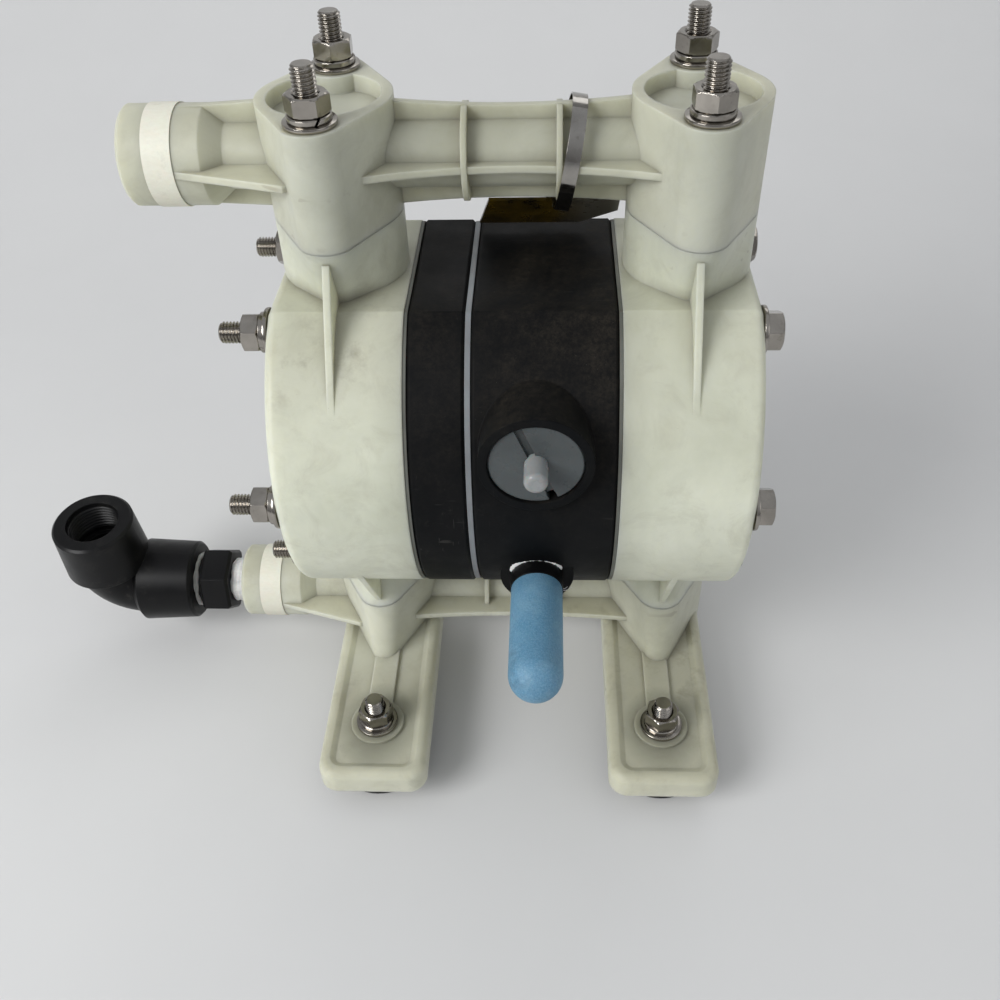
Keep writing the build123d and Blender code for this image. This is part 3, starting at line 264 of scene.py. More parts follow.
def black_plastic(name):
    """Black polypropylene with a brownish dust film on top, pale specks and crossing scuffs."""
    t = Tree(name)
    base = t.mix(t.ramp(t.noise(30.0, 4.0), 0.35, 0.7), (0.0034, 0.0040, 0.0046), (0.0066, 0.0070, 0.0076))
    up = t.ramp(t.facing_up(), -0.25, 0.85)
    smear = t.noise(20.0, 9.0, 0.78, distortion=0.6)
    fine = t.noise(420.0, 6.0, 0.85)
    dust = t.times(t.ramp(smear, 0.38, 0.68), t.ramp(fine, 0.40, 0.66, 0.2, 1.0))
    less_on_left = t.ramp(t.axis(0), -0.012, 0.004, 0.55, 1.0)
    dust = t.times(t.times(dust, up), less_on_left, clamp=True)
    col = t.mix(dust, base, BLACK_DUST)
    rub = t.ramp(t.noise(85.0, 9.0, 0.82), 0.54, 0.70)
    rub = t.times(rub, t.ramp(t.noise(15.0, 3.0), 0.50, 0.66, 0.0, 0.55))
    col = t.mix(t.times(rub, t.ramp(fine, 0.42, 0.62)), col, BLACK_RUB)
    specks = t.ramp(t.voronoi(520.0), 0.0, 0.055, 1.0, 0.0)
    col = t.mix(t.times(specks, t.ramp(t.noise(33.0, 2.0), 0.52, 0.60, 0.0, 0.7)), col, PALE_SPECK)
    scratch = t.ramp(t.noise(1100.0, 2.0, 0.4, stretch=(1.0, 1.0, 0.04)), 0.70, 0.73)
    cross = t.ramp(t.noise(1200.0, 2.0, 0.4, stretch=(0.05, 1.0, 0.4)), 0.70, 0.73)
    marks = t.math("ADD", scratch, cross, clamp=True)
    marks = t.times(marks, t.ramp(t.noise(14.0, 3.0), 0.52, 0.66))
    col = t.mix(t.times(marks, 0.4), col, PALE_SCRATCH)
    rough = t.ramp(t.noise(70.0, 5.0, 0.6), 0.3, 0.75, 0.42, 0.60)
    t.set(Base_Color=col, Roughness=t.math("ADD", rough, t.times(dust, 0.35)), Specular_IOR_Level=0.07)
    n = t.bump(t.noise(700.0, 4.0, 0.6), 0.18, 0.0002, t.soft_edges(0.0008))
    t.set(Normal=t.bump(marks, 0.25, 0.0001, n))
    return t.mat


def smooth_black(name):
    """Black fitting plastic with a satin skin and pale rub marks."""
    t = Tree(name)
    col = t.mix(t.ramp(t.noise(24.0, 4.0), 0.4, 0.72), (0.0036, 0.0036, 0.0040), (0.0080, 0.0080, 0.0084))
    rub = t.ramp(t.noise(130.0, 6.0, 0.75), 0.52, 0.74)
    rub = t.times(rub, t.ramp(t.noise(28.0, 3.0), 0.50, 0.68, 0.0, 0.7))
    col = t.mix(rub, col, FITTING_RUB)
    t.set(Base_Color=col, Roughness=t.ramp(t.noise(80.0, 4.0), 0.3, 0.75, 0.30, 0.46))
    t.set(Specular_IOR_Level=0.2)
    t.set(Normal=t.bump(t.noise(420.0, 3.0), 0.10, 0.0002, t.soft_edges(0.0007)))
    return t.mat


def stainless(name, tint=(0.37, 0.345, 0.31), rough=0.12):
    """Bright stainless with slight colour changes, faint drawing lines and small stains."""
    t = Tree(name)
    col = t.mix(t.ramp(t.noise(110.0, 4.0), 0.35, 0.7), tint, tuple(c * 0.74 for c in tint))
    stain = t.ramp(t.noise(380.0, 5.0, 0.7), 0.58, 0.78, 0.0, 0.55)
    col = t.mix(stain, col, (0.13, 0.11, 0.085))
    uneven = t.ramp(t.noise(420.0, 4.0, 0.65), 0.3, 0.75, rough - 0.03, rough + 0.13)
    t.set(Base_Color=col, Metallic=1.0, Roughness=uneven)
    lines = t.noise(1400.0, 2.0, 0.5, stretch=(1.0, 1.0, 0.08))
    t.set(Normal=t.bump(lines, 0.06, 0.0001, t.soft_edges(0.0003)))
    return t.mat


def silencer_blue(name):
    """Sintered light blue plastic: fused grains, a soft sheen and soil near the rounded end."""
    t = Tree(name)
    grain = t.noise(1500.0, 3.0, 0.7)
    spots = t.voronoi(1300.0)
    col = t.mix(t.ramp(grain, 0.35, 0.68), (0.088, 0.225, 0.350), (0.150, 0.315, 0.455))
    col = t.mix(t.ramp(spots, 0.0, 0.35, 0.45, 0.0), col, (0.27, 0.44, 0.57))
    pale = t.times(t.ramp(t.noise(90.0, 4.0, 0.6), 0.50, 0.70), 0.35)
    col = t.mix(pale, col, (0.24, 0.41, 0.52))
    soil = t.times(t.ramp(t.noise(75.0, 5.0, 0.7, distortion=0.8), 0.50, 0.68), 0.75)
    left = t.ramp(t.axis(0), -0.001, 0.010, 1.0, 0.12)
    tip = t.times(t.ramp(t.axis(1), -0.125, -0.098, 1.0, 0.15), left)
    col = t.mix(t.times(soil, tip, clamp=True), col, (0.028, 0.085, 0.125))
    # Painted shade: darker towards the collar that the neck runs into.
    neck = t.ramp(t.axis(1), -0.086, -0.078, 0.0, 0.30)
    col = t.mix(neck, col, (0.045, 0.12, 0.18))
    t.set(Base_Color=col, Roughness=0.5, Specular_IOR_Level=0.4)
    t.set(Subsurface_Weight=0.15, Subsurface_Scale=0.002)
    n = t.bump(spots, 0.30, 0.0003)
    t.set(Normal=t.bump(grain, 0.3, 0.0003, n))
    return t.mat


def milky_skin(name, base, dark, sss, rough):
    t = Tree(name)
    col = t.mix(t.ramp(t.noise(60.0, 4.0), 0.35, 0.7), base, dark)
    uneven = t.ramp(t.noise(200.0, 4.0), 0.3, 0.75, rough - 0.05, rough + 0.12)
    t.set(Base_Color=col, Roughness=uneven, Specular_IOR_Level=0.3)
    t.set(Subsurface_Weight=sss, Subsurface_Scale=0.003)
    t.set(Normal=t.bump(t.noise(600.0, 3.0), 0.12, 0.0002, t.soft_edges(0.0004)))
    return t, col


def milky(name, base, dark, sss=0.3, rough=0.35):
    """Smooth translucent plastic with slight clouding."""
    return milky_skin(name, base, dark, sss, rough)[0].mat


def cap_plastic(name):
    """Translucent cover of the valve: the moulded slot behind its face is painted on as a darker band of
    shade.
    """
    t, col = milky_skin(name, (0.080, 0.090, 0.092), (0.064, 0.073, 0.075), 0.15, 0.28)
    slot_turn = math.radians(112.0)
    x = t.math("SUBTRACT", t.axis(0), VALVE_X)
    up = t.math("SUBTRACT", t.axis(2), VALVE_Z)
    off = t.math("ADD", t.times(x, -math.sin(slot_turn)), t.times(up, math.cos(slot_turn)))
    # Painted shade: a darker band along the moulded slot.
    band = t.ramp(t.math("ABSOLUTE", off), 0.0012, 0.0017, 0.4, 0.0)
    t.set(Base_Color=t.mix(band, col, (0.026, 0.031, 0.031)))
    return t.mat


def wrapped_tape(name, base, shade, stretch):
    """Thin tape with fine ribs across its width and soiled places, greyer at the elbow's end."""
    t = Tree(name)
    ribs = t.noise(900.0, 3.0, 0.6, stretch=stretch)
    col = t.mix(t.ramp(ribs, 0.3, 0.7), shade, base)
    soil = t.times(t.ramp(t.noise(160.0, 5.0, 0.7), 0.58, 0.8), 0.45)
    col = t.mix(soil, col, tuple(c * 0.55 for c in base))
    # Greyer towards the elbow's end.
    greyer_near_elbow = t.ramp(t.axis(0), -0.153, -0.150, 0.65, 0.0)
    col = t.mix(greyer_near_elbow, col, (0.20, 0.20, 0.175))
    t.set(Base_Color=col, Roughness=0.48, Subsurface_Weight=0.1, Subsurface_Scale=0.001)
    t.set(Normal=t.bump(ribs, 0.4, 0.0003))
    return t.mat


def tag_film(name):
    """Dark amber film at one end that turns to a greyish clear film at the other."""
    t = Tree(name)
    across = t.ramp(t.axis(0), 0.014, 0.027)
    amber = t.mix(t.ramp(t.noise(90.0, 4.0, 0.6), 0.40, 0.66), (0.10, 0.062, 0.004), (0.012, 0.008, 0.002))
    col = t.mix(across, amber, (0.115, 0.105, 0.085))
    t.set(Base_Color=col, Roughness=t.ramp(t.noise(160.0, 4.0), 0.3, 0.75, 0.22, 0.42))
    t.set(Normal=t.bump(t.noise(60.0, 2.0), 0.2, 0.0005))
    return t.mat


def rubber(name):
    """Matt rubber with dust."""
    t = Tree(name)
    col = t.mix(t.ramp(t.noise(90.0, 5.0), 0.4, 0.7), (0.010, 0.010, 0.010), (0.026, 0.025, 0.023))
    t.set(Base_Color=col, Roughness=0.72)
    t.set(Normal=t.bump(t.noise(500.0, 4.0), 0.3, 0.0003, t.soft_edges(0.0006)))
    return t.mat


def brass(name):
    """Machined brass."""
    t = Tree(name)
    col = t.mix(t.ramp(t.noise(120.0, 4.0), 0.4, 0.7), (0.55, 0.38, 0.14), (0.34, 0.22, 0.09))
    t.set(Base_Color=col, Metallic=1.0, Roughness=t.ramp(t.noise(300.0, 4.0), 0.3, 0.75, 0.25, 0.42))
    return t.mat


chamber_look = natural_plastic(
    "chamber_plastic", (0.72, 0.74, 0.62), (0.70, 0.71, 0.58), (0.52, 0.54, 0.43), 0.42
)
manifold_look = natural_plastic(
    "manifold_plastic", (0.65, 0.66, 0.555), (0.62, 0.615, 0.49), (0.46, 0.465, 0.365), 0.42
)
M = {
    "chamber": chamber_look[0].mat,
    "manifold": foot_shadow(*manifold_look),
    "black": black_plastic("black_plastic"),
    "fitting": smooth_black("fitting_plastic"),
    "steel": stainless("stainless"),
    "disc": stainless("disc_metal", (0.56, 0.56, 0.56), 0.24),
    "strap": stainless("strap_steel", (0.36, 0.345, 0.32), 0.07),
    "silencer": silencer_blue("silencer_plastic"),
    "white": milky("white_seal", (0.235, 0.25, 0.262), (0.185, 0.195, 0.205), 0.1, 0.4),
    "seat": milky("seat_plastic", (0.60, 0.60, 0.54), (0.52, 0.52, 0.46)),
    "bush": milky("bush_plastic", (0.48, 0.43, 0.32), (0.42, 0.38, 0.28)),
    "cap": cap_plastic("cap_plastic"),
    "button": milky("button_plastic", (0.31, 0.325, 0.325), (0.25, 0.265, 0.265), 0.4, 0.20),
    "tape": wrapped_tape("tape_white", (0.80, 0.80, 0.78), (0.60, 0.60, 0.60), (0.12, 1.0, 1.0)),
    "band": wrapped_tape("band_paper", (0.80, 0.78, 0.67), (0.76, 0.735, 0.62), (0.5, 1.0, 1.0)),
    "tag": tag_film("tag_amber"),
    "rubber": rubber("foot_rubber"),
    "brass": brass("insert_brass"),
    "joint": milky("joint_seal", (0.40, 0.41, 0.34), (0.32, 0.33, 0.27), 0.1, 0.45),
    "rim": milky("diaphragm_rim", (0.14, 0.143, 0.125), (0.09, 0.093, 0.08), 0.1, 0.45),
}
SLOT_OF = {
    "chamber_plastic": "chamber",
    "manifold_plastic": "manifold",
    "black_plastic": "black",
    "white_seal": "white",
    "seat_plastic": "seat",
    "stainless": "steel",
    "disc_metal": "disc",
    "insert_brass": "brass",
    "bush_plastic": "bush",
    "seal_rubber": "rubber",
    "sleeve_metal": "disc",
    "cap_plastic": "cap",
    "button_plastic": "button",
    "fitting_plastic": "fitting",
    "silencer_plastic": "silencer",
    "tape_white": "tape",
    "band_paper": "band",
    "strap_steel": "strap",
    "tag_amber": "tag",
    "foot_rubber": "rubber",
}
OWN_FINISH = {"left_diaphragm": "rim", "right_diaphragm": "rim", "seat_seals": "joint"}
for entry in frame["record"]["subparts"]:
    obj = nodes[entry["node"]]
    key = OWN_FINISH.get(entry["node"], SLOT_OF[entry["material_slot"]])
    if not obj.material_slots:
        obj.data.materials.append(M[key])
    for slot in obj.material_slots:
        slot.material = M[key]


# ------------------------------------------------------------------ mesh helpers
THREAD_SMOOTH = math.radians(60)
THIN_SMOOTH = math.radians(50)
STEEL_SMOOTH = math.radians(28)


def add_mesh(name, verts, faces, material, body, slot, smooth_angle):
    me = bpy.data.meshes.new(name)
    me.from_pydata([tuple(v) for v in verts], [], faces)
    me.validate()
    obj = bpy.data.objects.new(name, me)
    scene.collection.objects.link(obj)
    me.materials.append(material)
    me.shade_smooth()
    bm = bmesh.new()
    bm.from_mesh(me)
    for e in bm.edges:
        if len(e.link_faces) == 2 and e.calc_face_angle(0.0) > smooth_angle:
            e.smooth = False
    bm.to_mesh(me)
    bm.free()
    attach(obj, body)
    return obj


def angles(steps):
    """Angles of steps points round a circle."""
    return [2 * math.pi * i / steps for i in range(steps)]


def skin(rows, around, loop=False, caps=True):
    """Faces over rows of around points each. With loop, the last row joins the first, without caps."""
    faces = []
    for j in range(rows if loop else rows - 1):
        k = (j + 1) % rows
        for i in range(around):
            n = (i + 1) % around
            faces.append((j * around + i, j * around + n, k * around + n, k * around + i))
    if caps and not loop:
        faces.append(tuple(range(around))[::-1])
        faces.append(tuple((rows - 1) * around + i for i in range(around)))
    return faces


def spun(rows, steps, loop):
    """Rows are functions from an angle about the z axis to a radius and a height."""
    verts = []
    for row in rows:
        for a in angles(steps):
            r, z = row(a)
            verts.append((r * math.cos(a), r * math.sin(a), z))
    return verts, skin(len(rows), steps, loop)


def hex_r(a, half):
    return half / math.cos(a % (math.pi / 3) - math.pi / 6)


def hex_body(half, height, hole_r=0.0, dome=0.0):
    """Hexagon nut with chamfered corners, or a bolt head where there is no hole."""
    start = half * 0.97
    slope = math.tan(math.radians(30))
    rim = 0.0006  # chamfer of the hole

    def outer(z):
        def row(a):
            room = min(z / slope if hole_r else math.inf, (height - z) / slope)
            return min(hex_r(a, half), start + room), z
        return row

    levels = [height * f for f in (0.0, 0.05, 0.1, 0.15, 0.2, 0.3, 0.7, 0.8, 0.85, 0.9, 0.95, 1.0)]
    sides = [outer(z) for z in levels]
    if hole_r:
        below = [lambda a: (hole_r, rim), lambda a: (hole_r + rim, 0.0)]
        above = [lambda a: (hole_r + rim, height), lambda a: (hole_r, height - rim)]
        return spun(below + sides + above, 72, True)
    crown = [
        lambda a: (half * 0.86, height + dome * 0.3),
        lambda a: (half * 0.5, height + dome * 0.85),
        lambda a: (half * 0.12, height + dome),
    ]
    return spun(sides + crown, 72, False)


def washer(outer_r, inner_r, thick):
    edge = 0.0004
    rows = [
        lambda a: (inner_r, edge),
        lambda a: (inner_r + edge, 0.0),
        lambda a: (outer_r - edge, 0.0),
        lambda a: (outer_r - edge * 0.3, edge * 0.3),
        lambda a: (outer_r, edge),
        lambda a: (outer_r, thick - edge),
        lambda a: (outer_r - edge * 0.3, thick - edge * 0.3),
        lambda a: (outer_r - edge, thick),
        lambda a: (inner_r + edge, thick),
        lambda a: (inner_r, thick - edge),
    ]
    return spun(rows, 56, True)


def spring_washer(outer_r, inner_r, thick, start):
    """Square section ring, cut once on a slant."""
    verts = []
    steps, gap_angle = 60, 0.16
    in_edge, out_edge = inner_r + 0.0003, outer_r - 0.0004
    section = [(inner_r, 0.08), (in_edge, 0.0), (out_edge, 0.0), (outer_r, 0.14),
               (outer_r, 0.86), (out_edge, 1.0), (in_edge, 1.0), (inner_r, 0.92)]
    span = 2 * math.pi - gap_angle
    for i in range(steps + 1):
        a = start + span * i / steps
        for r, h in section:
            twist = a + (h - 0.5) * gap_angle * 1.2
            verts.append((r * math.cos(twist), r * math.sin(twist), h * thick))
    return verts, skin(steps + 1, len(section))


def threaded_rod(length, radius, pitch, thread_from):
    """Rod along +z from 0 to length, threaded from thread_from to its chamfered end."""
    steps, per_turn, end_chamfer = 40, 10, 0.0009
    depth = pitch * 0.62
    rows = [(0.0, False)] + ([(thread_from, False)] if thread_from > 0 else [])
    z = thread_from
    while z < length - 1e-9:
        rows.append((z, True))
        z += pitch / per_turn
    rows.append((length, True))
    verts = []
    for z, cut_here in rows:
        for i, a in enumerate(angles(steps)):
            r = radius
            if cut_here:
                v = abs((z / pitch - i / steps) % 1.0 - 0.5) * 2
                cut = min(1.0, max(0.0, (v - 0.10) / 0.72))
                fade = min(1.0, (z - thread_from) / pitch)
                r = radius - depth * cut * fade
                r = min(r, radius - end_chamfer + (length - z))
            verts.append((r * math.cos(a), r * math.sin(a), z))
    return verts, skin(len(rows), steps)


def towards(pos, axis, turn=0.0):
    """Matrix whose z runs along axis from pos."""
    quat = Vector(axis).normalized().to_track_quat("Z", "Y")
    return Matrix.Translation(Vector(pos)) @ quat.to_matrix().to_4x4() @ Matrix.Rotation(turn, 4, "Z")


def placed(part, pos, axis, turn=0.0):
    verts, faces = part
    matrix = towards(pos, axis, turn)
    return [matrix @ Vector(v) for v in verts], faces


def joined(parts):
    verts, faces = [], []
    for v, f in parts:
        base = len(verts)
        verts += list(v)
        faces += [tuple(i + base for i in face) for face in f]
    return verts, faces


# ------------------------------------------------------------------ M8 hardware
BOLT_R, PITCH = 0.004, 0.00125
HALF, NUT_H, HEAD_H, HEAD_DOME = 0.0065, 0.0065, 0.0058, 0.0004  # half across flats, heights
NUT_HOLE_R = BOLT_R + 0.0001
FLAT_T, FLAT_R = 0.0016, 0.009
SPRING_T, SPRING_R = 0.0021, 0.0074
HOLE_R = 0.0042
# How far each nut and head is turned, in degrees, as read off the photograph
TIE_NUT_TURNS = (32.0, 40.0, 30.0, 40.0, 52.0, 20.0)
TIE_HEAD_TURNS = (28.0, 12.0, 36.0, 24.0, 8.0, 44.0)
TOP_TURNS = (3.4, 33.6, 31.9, 3.4)
FOOT_TURNS = (17.6, 50.0, 14.4, 35.0)


def flat_washer(pos, axis):
    return placed(washer(FLAT_R, HOLE_R, FLAT_T), pos, axis)


def split_washer(pos, axis, start):
    return placed(spring_washer(SPRING_R, HOLE_R, SPRING_T, start), pos, axis)


def nut(pos, axis, degrees):
    return placed(hex_body(HALF, NUT_H, NUT_HOLE_R), pos, axis, math.radians(degrees))


def hardware(name, parts, replaced):
    verts, faces = joined(parts)
    obj = add_mesh(name, verts, faces, M["steel"], "pump", "stainless", STEEL_SMOOTH)
    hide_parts(replaced)


FACE_X = 0.0876  # outer faces of the chambers, under the washers
TIE_CIRCLE_R = 0.064
TIE_TIP = 0.0087  # bolt beyond its nut
TIE_PLAIN_END = 0.012  # thread that reaches in from the nut
rods, nuts, flats, springs = [], [], [], []
for i, degrees in enumerate(range(0, 360, 60)):
    spot = math.radians(degrees)
    y, z = TIE_CIRCLE_R * math.cos(spot), AX + TIE_CIRCLE_R * math.sin(spot)
    nut_x = -FACE_X - FLAT_T - SPRING_T
    head_x = FACE_X + FLAT_T
    tip = nut_x - NUT_H - TIE_TIP
    rod = threaded_rod(head_x - tip, BOLT_R, PITCH, head_x - nut_x - TIE_PLAIN_END)
    rods.append(placed(rod, (head_x, y, z), LEFT, i))
    head = hex_body(HALF, HEAD_H, dome=HEAD_DOME)
    rods.append(placed(head, (head_x, y, z), RIGHT, math.radians(TIE_HEAD_TURNS[i])))
    nuts.append(nut((nut_x, y, z), LEFT, TIE_NUT_TURNS[i]))
    flats.append(flat_washer((-FACE_X, y, z), LEFT))
    flats.append(flat_washer((FACE_X, y, z), RIGHT))
    springs.append(split_washer((-FACE_X - FLAT_T, y, z), LEFT, i * 1.9))
hardware("tie_bolts_threaded", rods, "tie_bolts")
hardware("tie_nuts_chamfered", nuts, "tie_nuts")
hardware("tie_washers_flat", flats, "tie_flat_washers")
hardware("tie_washers_spring", springs, "tie_spring_washers")

FLANGE_Z = AX + 0.129  # top of the columns
STUD_Y = 0.0257
STUD_LOW, STUD_TIP = AX + 0.0795, FLANGE_Z + 0.019
rods, nuts, flats, springs = [], [], [], []
for i, (x, y) in enumerate([(x, y) for x in (-COL_X, COL_X) for y in (-STUD_Y, STUD_Y)]):
    rod = threaded_rod(STUD_TIP - STUD_LOW, BOLT_R, PITCH, FLANGE_Z - STUD_LOW)
    rods.append(placed(rod, (x, y, STUD_LOW), UP, i * 0.7))
    flats.append(flat_washer((x, y, FLANGE_Z), UP))
    springs.append(split_washer((x, y, FLANGE_Z + FLAT_T), UP, 2.2 + i))
    nuts.append(nut((x, y, FLANGE_Z + FLAT_T + SPRING_T), UP, TOP_TURNS[i]))
hardware("top_studs_threaded", rods, "top_studs")
hardware("top_nuts_chamfered", nuts, "top_nuts")
hardware("top_washers_flat", flats, "top_flat_washers")
hardware("top_washers_spring", springs, "top_spring_washers")

FOOT_TOP, FOOT_BOLT_Y = 0.026, 0.078
PLATE_Z, PLATE_R, PLATE_HOLE_R, PLATE_T = 0.012, 0.016, 0.003, 0.002  # stud's head, buried in the rubber
rods, nuts, flats, springs = [], [], [], []
for i, (x, y) in enumerate([(x, y) for x in (-FOOT_X, FOOT_X) for y in (-FOOT_BOLT_Y, FOOT_BOLT_Y)]):
    rods.append(placed(threaded_rod(0.0275, BOLT_R, PITCH, 0.004), (x, y, PLATE_Z + PLATE_T), UP, i * 0.9))
    rods.append(placed(washer(PLATE_R, PLATE_HOLE_R, PLATE_T), (x, y, PLATE_Z), UP))
    flats.append(flat_washer((x, y, FOOT_TOP), UP))
    springs.append(split_washer((x, y, FOOT_TOP + FLAT_T), UP, 3.5 + i))
    nuts.append(nut((x, y, FOOT_TOP + FLAT_T + SPRING_T), UP, FOOT_TURNS[i]))
hardware("foot_studs_threaded", rods, "foot_studs")
hardware("foot_nuts_chamfered", nuts, "foot_nuts")
hardware("foot_washers_flat", flats, "foot_flat_washers")
hardware("foot_washers_spring", springs, "foot_spring_washers")


# ------------------------------------------------------------------ threads in the open mouths
PIPE_PITCH = 0.00181
ELBOW_LEAN = math.radians(5.0)
ELBOW_MOUTH = (-0.2009, -0.00366, 0.07534)
OUTLET_MOUTH = (-0.1342, 0, AX + 0.1085)


def thread_liner(bore, crest, start, end):
    """Inner pipe thread of a mouth, whose rows run into the bore, along -z from the mouth."""
    steps, per_turn = 72, 8
    rows = int((end - start) / PIPE_PITCH * per_turn)
    verts = []
    for j in range(rows + 1):
        depth = start + (end - start) * j / rows
        fade = min(1.0, (depth - start) / PIPE_PITCH, (end - depth) / PIPE_PITCH)
        for i, a in enumerate(angles(steps)):
            v = abs((depth / PIPE_PITCH - i / steps) % 1.0 - 0.5) * 2
            r = bore - crest * max(0.0, 1 - v * 1.25) * fade
            verts.append((r * math.cos(a), r * math.sin(a), -depth))
    inward = [(b, a, d, c) for a, b, c, d in skin(rows + 1, steps, caps=False)]
    return verts, inward


up_and_back = (0, -math.sin(ELBOW_LEAN), math.cos(ELBOW_LEAN))
liner = placed(thread_liner(0.01215, 0.0010, 0.0015, 0.0170), ELBOW_MOUTH, up_and_back)
add_mesh("elbow_mouth_thread", *liner, M["fitting"], "pump", "fitting_plastic", THREAD_SMOOTH)
liner = placed(thread_liner(0.00975, 0.0009, 0.0012, 0.0160), OUTLET_MOUTH, LEFT)
add_mesh("outlet_port_thread", *liner, M["manifold"], "pump", "manifold_plastic", THREAD_SMOOTH)


# ------------------------------------------------------------------ sealing tape
def wound_tape(x_from, x_to, inner, outer, seed):
    """Turns of thin tape about the inlet axis, with wrinkles and uneven edges."""
    steps, rows = 96, 12
    verts = []
    for j in range(rows + 1):
        f = j / rows
        for a in angles(steps):
            ragged = 0.00025 * math.sin(5 * a + seed) + 0.00015 * math.sin(13 * a + 2 * seed)
            x = x_from + (x_to - x_from) * f + ragged * (1 if f > 0.5 else -1) * abs(2 * f - 1)
            wave = math.sin(2 * math.pi * (3.2 * f + a / (2 * math.pi)) + seed)
            crease = 0.5 * math.sin(17 * a + 9 * f + seed) * math.sin(3 * a + seed)
            r = inner + (outer - inner) * (0.72 + 0.20 * wave + 0.16 * crease)
            if j in (0, rows):
                r = inner
            verts.append((x, r * math.cos(a), INLET_Z + r * math.sin(a)))
    return verts, skin(rows + 1, steps, caps=False)


def ribbon(points, width_axis, width, thick):
    """Strip of tape that follows points and narrows towards the last."""
    verts = []
    w = Vector(width_axis).normalized()
    path = [Vector(p) for p in points]
    for i, p in enumerate(path):
        run = (path[min(i + 1, len(path) - 1)] - path[max(i - 1, 0)]).normalized()
        side = run.cross(w).normalized()
        half = width * (0.5 - 0.32 * i / (len(path) - 1))
        for u, v in ((-1, -1), (1, -1), (1, 1), (-1, 1)):
            verts.append(p + w * (u * half) + side * (v * thick / 2))
    return verts, skin(len(path), 4)


def arc_points(x, r_from, r_to, deg_from, deg_to):
    """Nine points about the inlet axis, for a loose end that lifts off."""
    points = []
    for i in range(9):
        f = i / 8
        a = math.radians(deg_from + (deg_to - deg_from) * f)
        r = r_from + (r_to - r_from) * f
        points.append((x + 0.0004 * f, r * math.cos(a), INLET_Z + r * math.sin(a)))
    return points


tape = joined([
    wound_tape(-0.1414, -0.1343, 0.00972, 0.0107, 0.4),  # between the port and the hexagon
    wound_tape(-0.1588, -0.1566, 0.01222, 0.0131, 2.1),  # between the hexagon and the elbow
    ribbon(arc_points(-0.1572, 0.0131, 0.0152, 232, 262), RIGHT, 0.0022, 0.00015),  # its loose end
])
obj = add_mesh("thread_tapes_wound", *tape, M["tape"], "pump", "tape_white", THIN_SMOOTH)
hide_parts("thread_tapes")

curl = []
for i in range(9):
    f = i / 8
    a = math.radians(-84 + 9 * f)
    r = 0.0177 + 0.0016 * f * f
    curl.append((-0.1178 + 0.0022 * f, r * math.cos(a), INLET_Z + r * math.sin(a)))
loose = ribbon(curl, RIGHT, 0.0034, 0.0002)
add_mesh("label_band_loose_end", *loose, M["band"], "pump", "band_paper", THIN_SMOOTH)

EXHAUST = (VALVE_X, AX - 0.033)
EXHAUST_FACE_Y = -0.0685


def frayed_crescent(r_in, r_out, deg_from, deg_to):
    """Tape squeezed out between the exhaust boss and the silencer collar, thickest at its top."""
    steps = 46
    verts = []
    for i in range(steps + 1):
        f = i / steps
        a = math.radians(deg_from + (deg_to - deg_from) * f)
        full = math.sin(math.pi * f) ** 0.6
        fray = 0.00022 * math.sin(41 * f) + 0.00016 * math.sin(97 * f + 1.0)
        outer = r_in + (r_out - r_in) * full + fray
        back = EXHAUST_FACE_Y - 0.0001
        front = EXHAUST_FACE_Y - 0.0003 - 0.0014 * full - abs(fray)
        section = ((r_in, back), (outer, back), (outer - 0.0001, (back + front) / 2),
                   (r_in + 0.0004 * full, front), (r_in, front))
        for r, y in section:
            verts.append((EXHAUST[0] + r * math.cos(a), y, EXHAUST[1] + r * math.sin(a)))
    return verts, skin(steps + 1, 5)


shreds = [frayed_crescent(0.01025, 0.0127, 22, 166)]
for deg, bend, size in ((-38, 1.2, 0.0042), (-46, -0.8, 0.0034), (-30, 0.5, 0.0026)):
    points = []
    for i in range(9):
        f = i / 8
        a = math.radians(deg + bend * 14 * f)
        r = 0.0104 + size * f
        y = -0.0692 - 0.0012 * math.sin(3 * f)
        points.append((EXHAUST[0] + r * math.cos(a), y, EXHAUST[1] + r * math.sin(a)))
    shreds.append(ribbon(points, (0, 1, 0), 0.0005, 0.00015))
add_mesh("exhaust_tape_shreds", *joined(shreds), M["tape"], "pump", "tape_white", THIN_SMOOTH)


# ------------------------------------------------------------------ spring behind the valve cap
def coil(radius, wire, y_from, y_to, turns):
    """Round wire wound about the valve's axis."""
    around, steps = 10, int(36 * turns)
    verts = []
    for i in range(steps + 1):
        f = i / steps
        a = 2 * math.pi * turns * f
        for b in angles(around):
            r = radius + wire / 2 * math.cos(b)
            y = y_from + (y_to - y_from) * f + wire / 2 * math.sin(b)
            verts.append((VALVE_X + r * math.cos(a), y, VALVE_Z + r * math.sin(a)))
    return verts, skin(steps + 1, around)


wound = coil(0.0033, 0.0009, -0.0716, -0.06445, 3.5)
obj = add_mesh("reset_spring_coiled", *wound, M["steel"], "pump", "stainless", THIN_SMOOTH)
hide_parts("reset_spring")
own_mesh(obj)


# ------------------------------------------------------------------ floor, backdrop and light
FLOOR_COLOR = (0.69, 0.69, 0.685)
SHEET_HALF, SHEET_FRONT, SHEET_TOP = 6.0, -6.0, 3.2
SWEEP_START, SWEEP_R, SHEET_BACK = 0.30, 0.9, 1.2


def stage_material(name, color):
    t = Tree(name)
    marks = t.noise(9.0, 5.0, 0.6)
    col = t.mix(t.ramp(marks, 0.4, 0.75, 0.0, 0.5), color, tuple(c * 0.96 for c in color))
    t.set(Base_Color=col, Roughness=0.55, Specular_IOR_Level=0.3)
    return t.mat


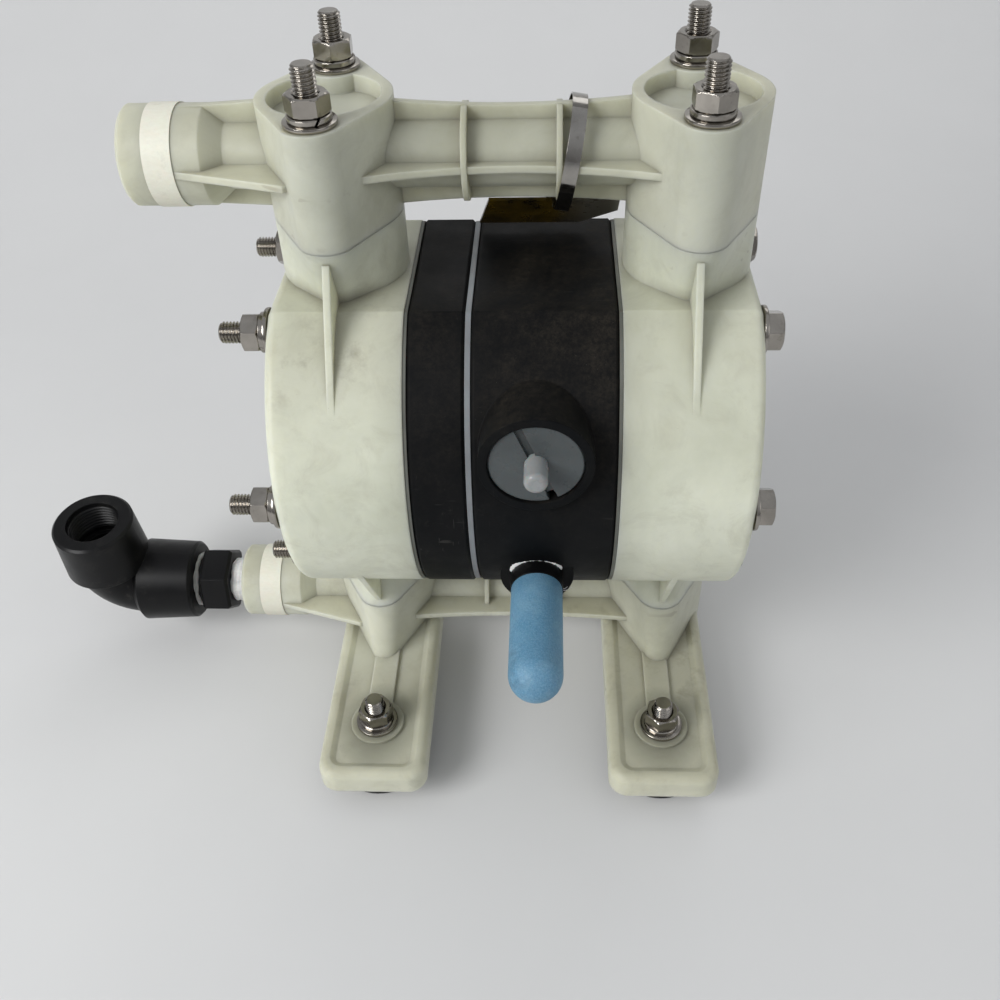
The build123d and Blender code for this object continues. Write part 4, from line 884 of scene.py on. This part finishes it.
def make_stage():
    """One sheet: floor that sweeps up behind into a backdrop."""
    verts, faces = [], []
    steps = 24
    profile = [(SHEET_FRONT, 0.0), (SWEEP_START, 0.0)]
    for i in range(1, steps + 1):
        a = math.pi / 2 * i / steps
        profile.append((SWEEP_START + SWEEP_R * math.sin(a), SWEEP_R * (1 - math.cos(a))))
    profile.append((SHEET_BACK, SHEET_TOP))
    for y, z in profile:
        verts.append((-SHEET_HALF, y, z))
        verts.append((SHEET_HALF, y, z))
    for i in range(len(profile) - 1):
        faces.append((2 * i, 2 * i + 1, 2 * i + 3, 2 * i + 2))
    me = bpy.data.meshes.new("floor")
    me.from_pydata(verts, [], faces)
    me.shade_smooth()
    obj = bpy.data.objects.new("floor", me)
    scene.collection.objects.link(obj)
    me.materials.append(stage_material("floor_paint", FLOOR_COLOR))


make_stage()


def lamp(name, pos, target, size, watts):
    data = bpy.data.lights.new(name, "AREA")
    data.shape = "RECTANGLE"
    data.size, data.size_y = size
    data.energy = watts
    obj = bpy.data.objects.new(name, data)
    scene.collection.objects.link(obj)
    obj.matrix_world = towards(pos, Vector(pos) - Vector(target))


lamp("key", (-1.10, -0.95, 1.05), (0, 0, 0.13), (0.9, 0.8), 21.0)
lamp("fill", (1.15, -0.85, 0.75), (0, 0, 0.12), (0.9, 0.9), 1.6)
lamp("rim", (0.2, 1.0, 1.1), (0, 0, 0.15), (1.0, 0.5), 2.2)

HORIZON, ZENITH = (0.24, 0.24, 0.247, 1), (0.54, 0.555, 0.58, 1)


def make_world():
    """Pale room: bright overhead, dimmer towards the horizon, as seen in the polished steel."""
    world = bpy.data.worlds.new("world")
    scene.world = world
    world.use_nodes = True
    t = world.node_tree
    back = t.nodes["Background"]
    sky = t.nodes.new("ShaderNodeTexCoord")
    split = t.nodes.new("ShaderNodeSeparateXYZ")
    t.links.new(sky.outputs["Generated"], split.inputs[0])
    rise = t.nodes.new("ShaderNodeMapRange")
    rise.inputs["From Min"].default_value = 0.05
    rise.inputs["From Max"].default_value = 0.75
    t.links.new(split.outputs[2], rise.inputs["Value"])
    tone = t.nodes.new("ShaderNodeMix")
    tone.data_type = "RGBA"
    t.links.new(rise.outputs[0], tone.inputs[0])
    tone.inputs[6].default_value = HORIZON
    tone.inputs[7].default_value = ZENITH
    t.links.new(tone.outputs[2], back.inputs[0])
    back.inputs[1].default_value = 1.0


make_world()
scene.view_settings.view_transform = "Standard"

bpy.context.view_layer.update()
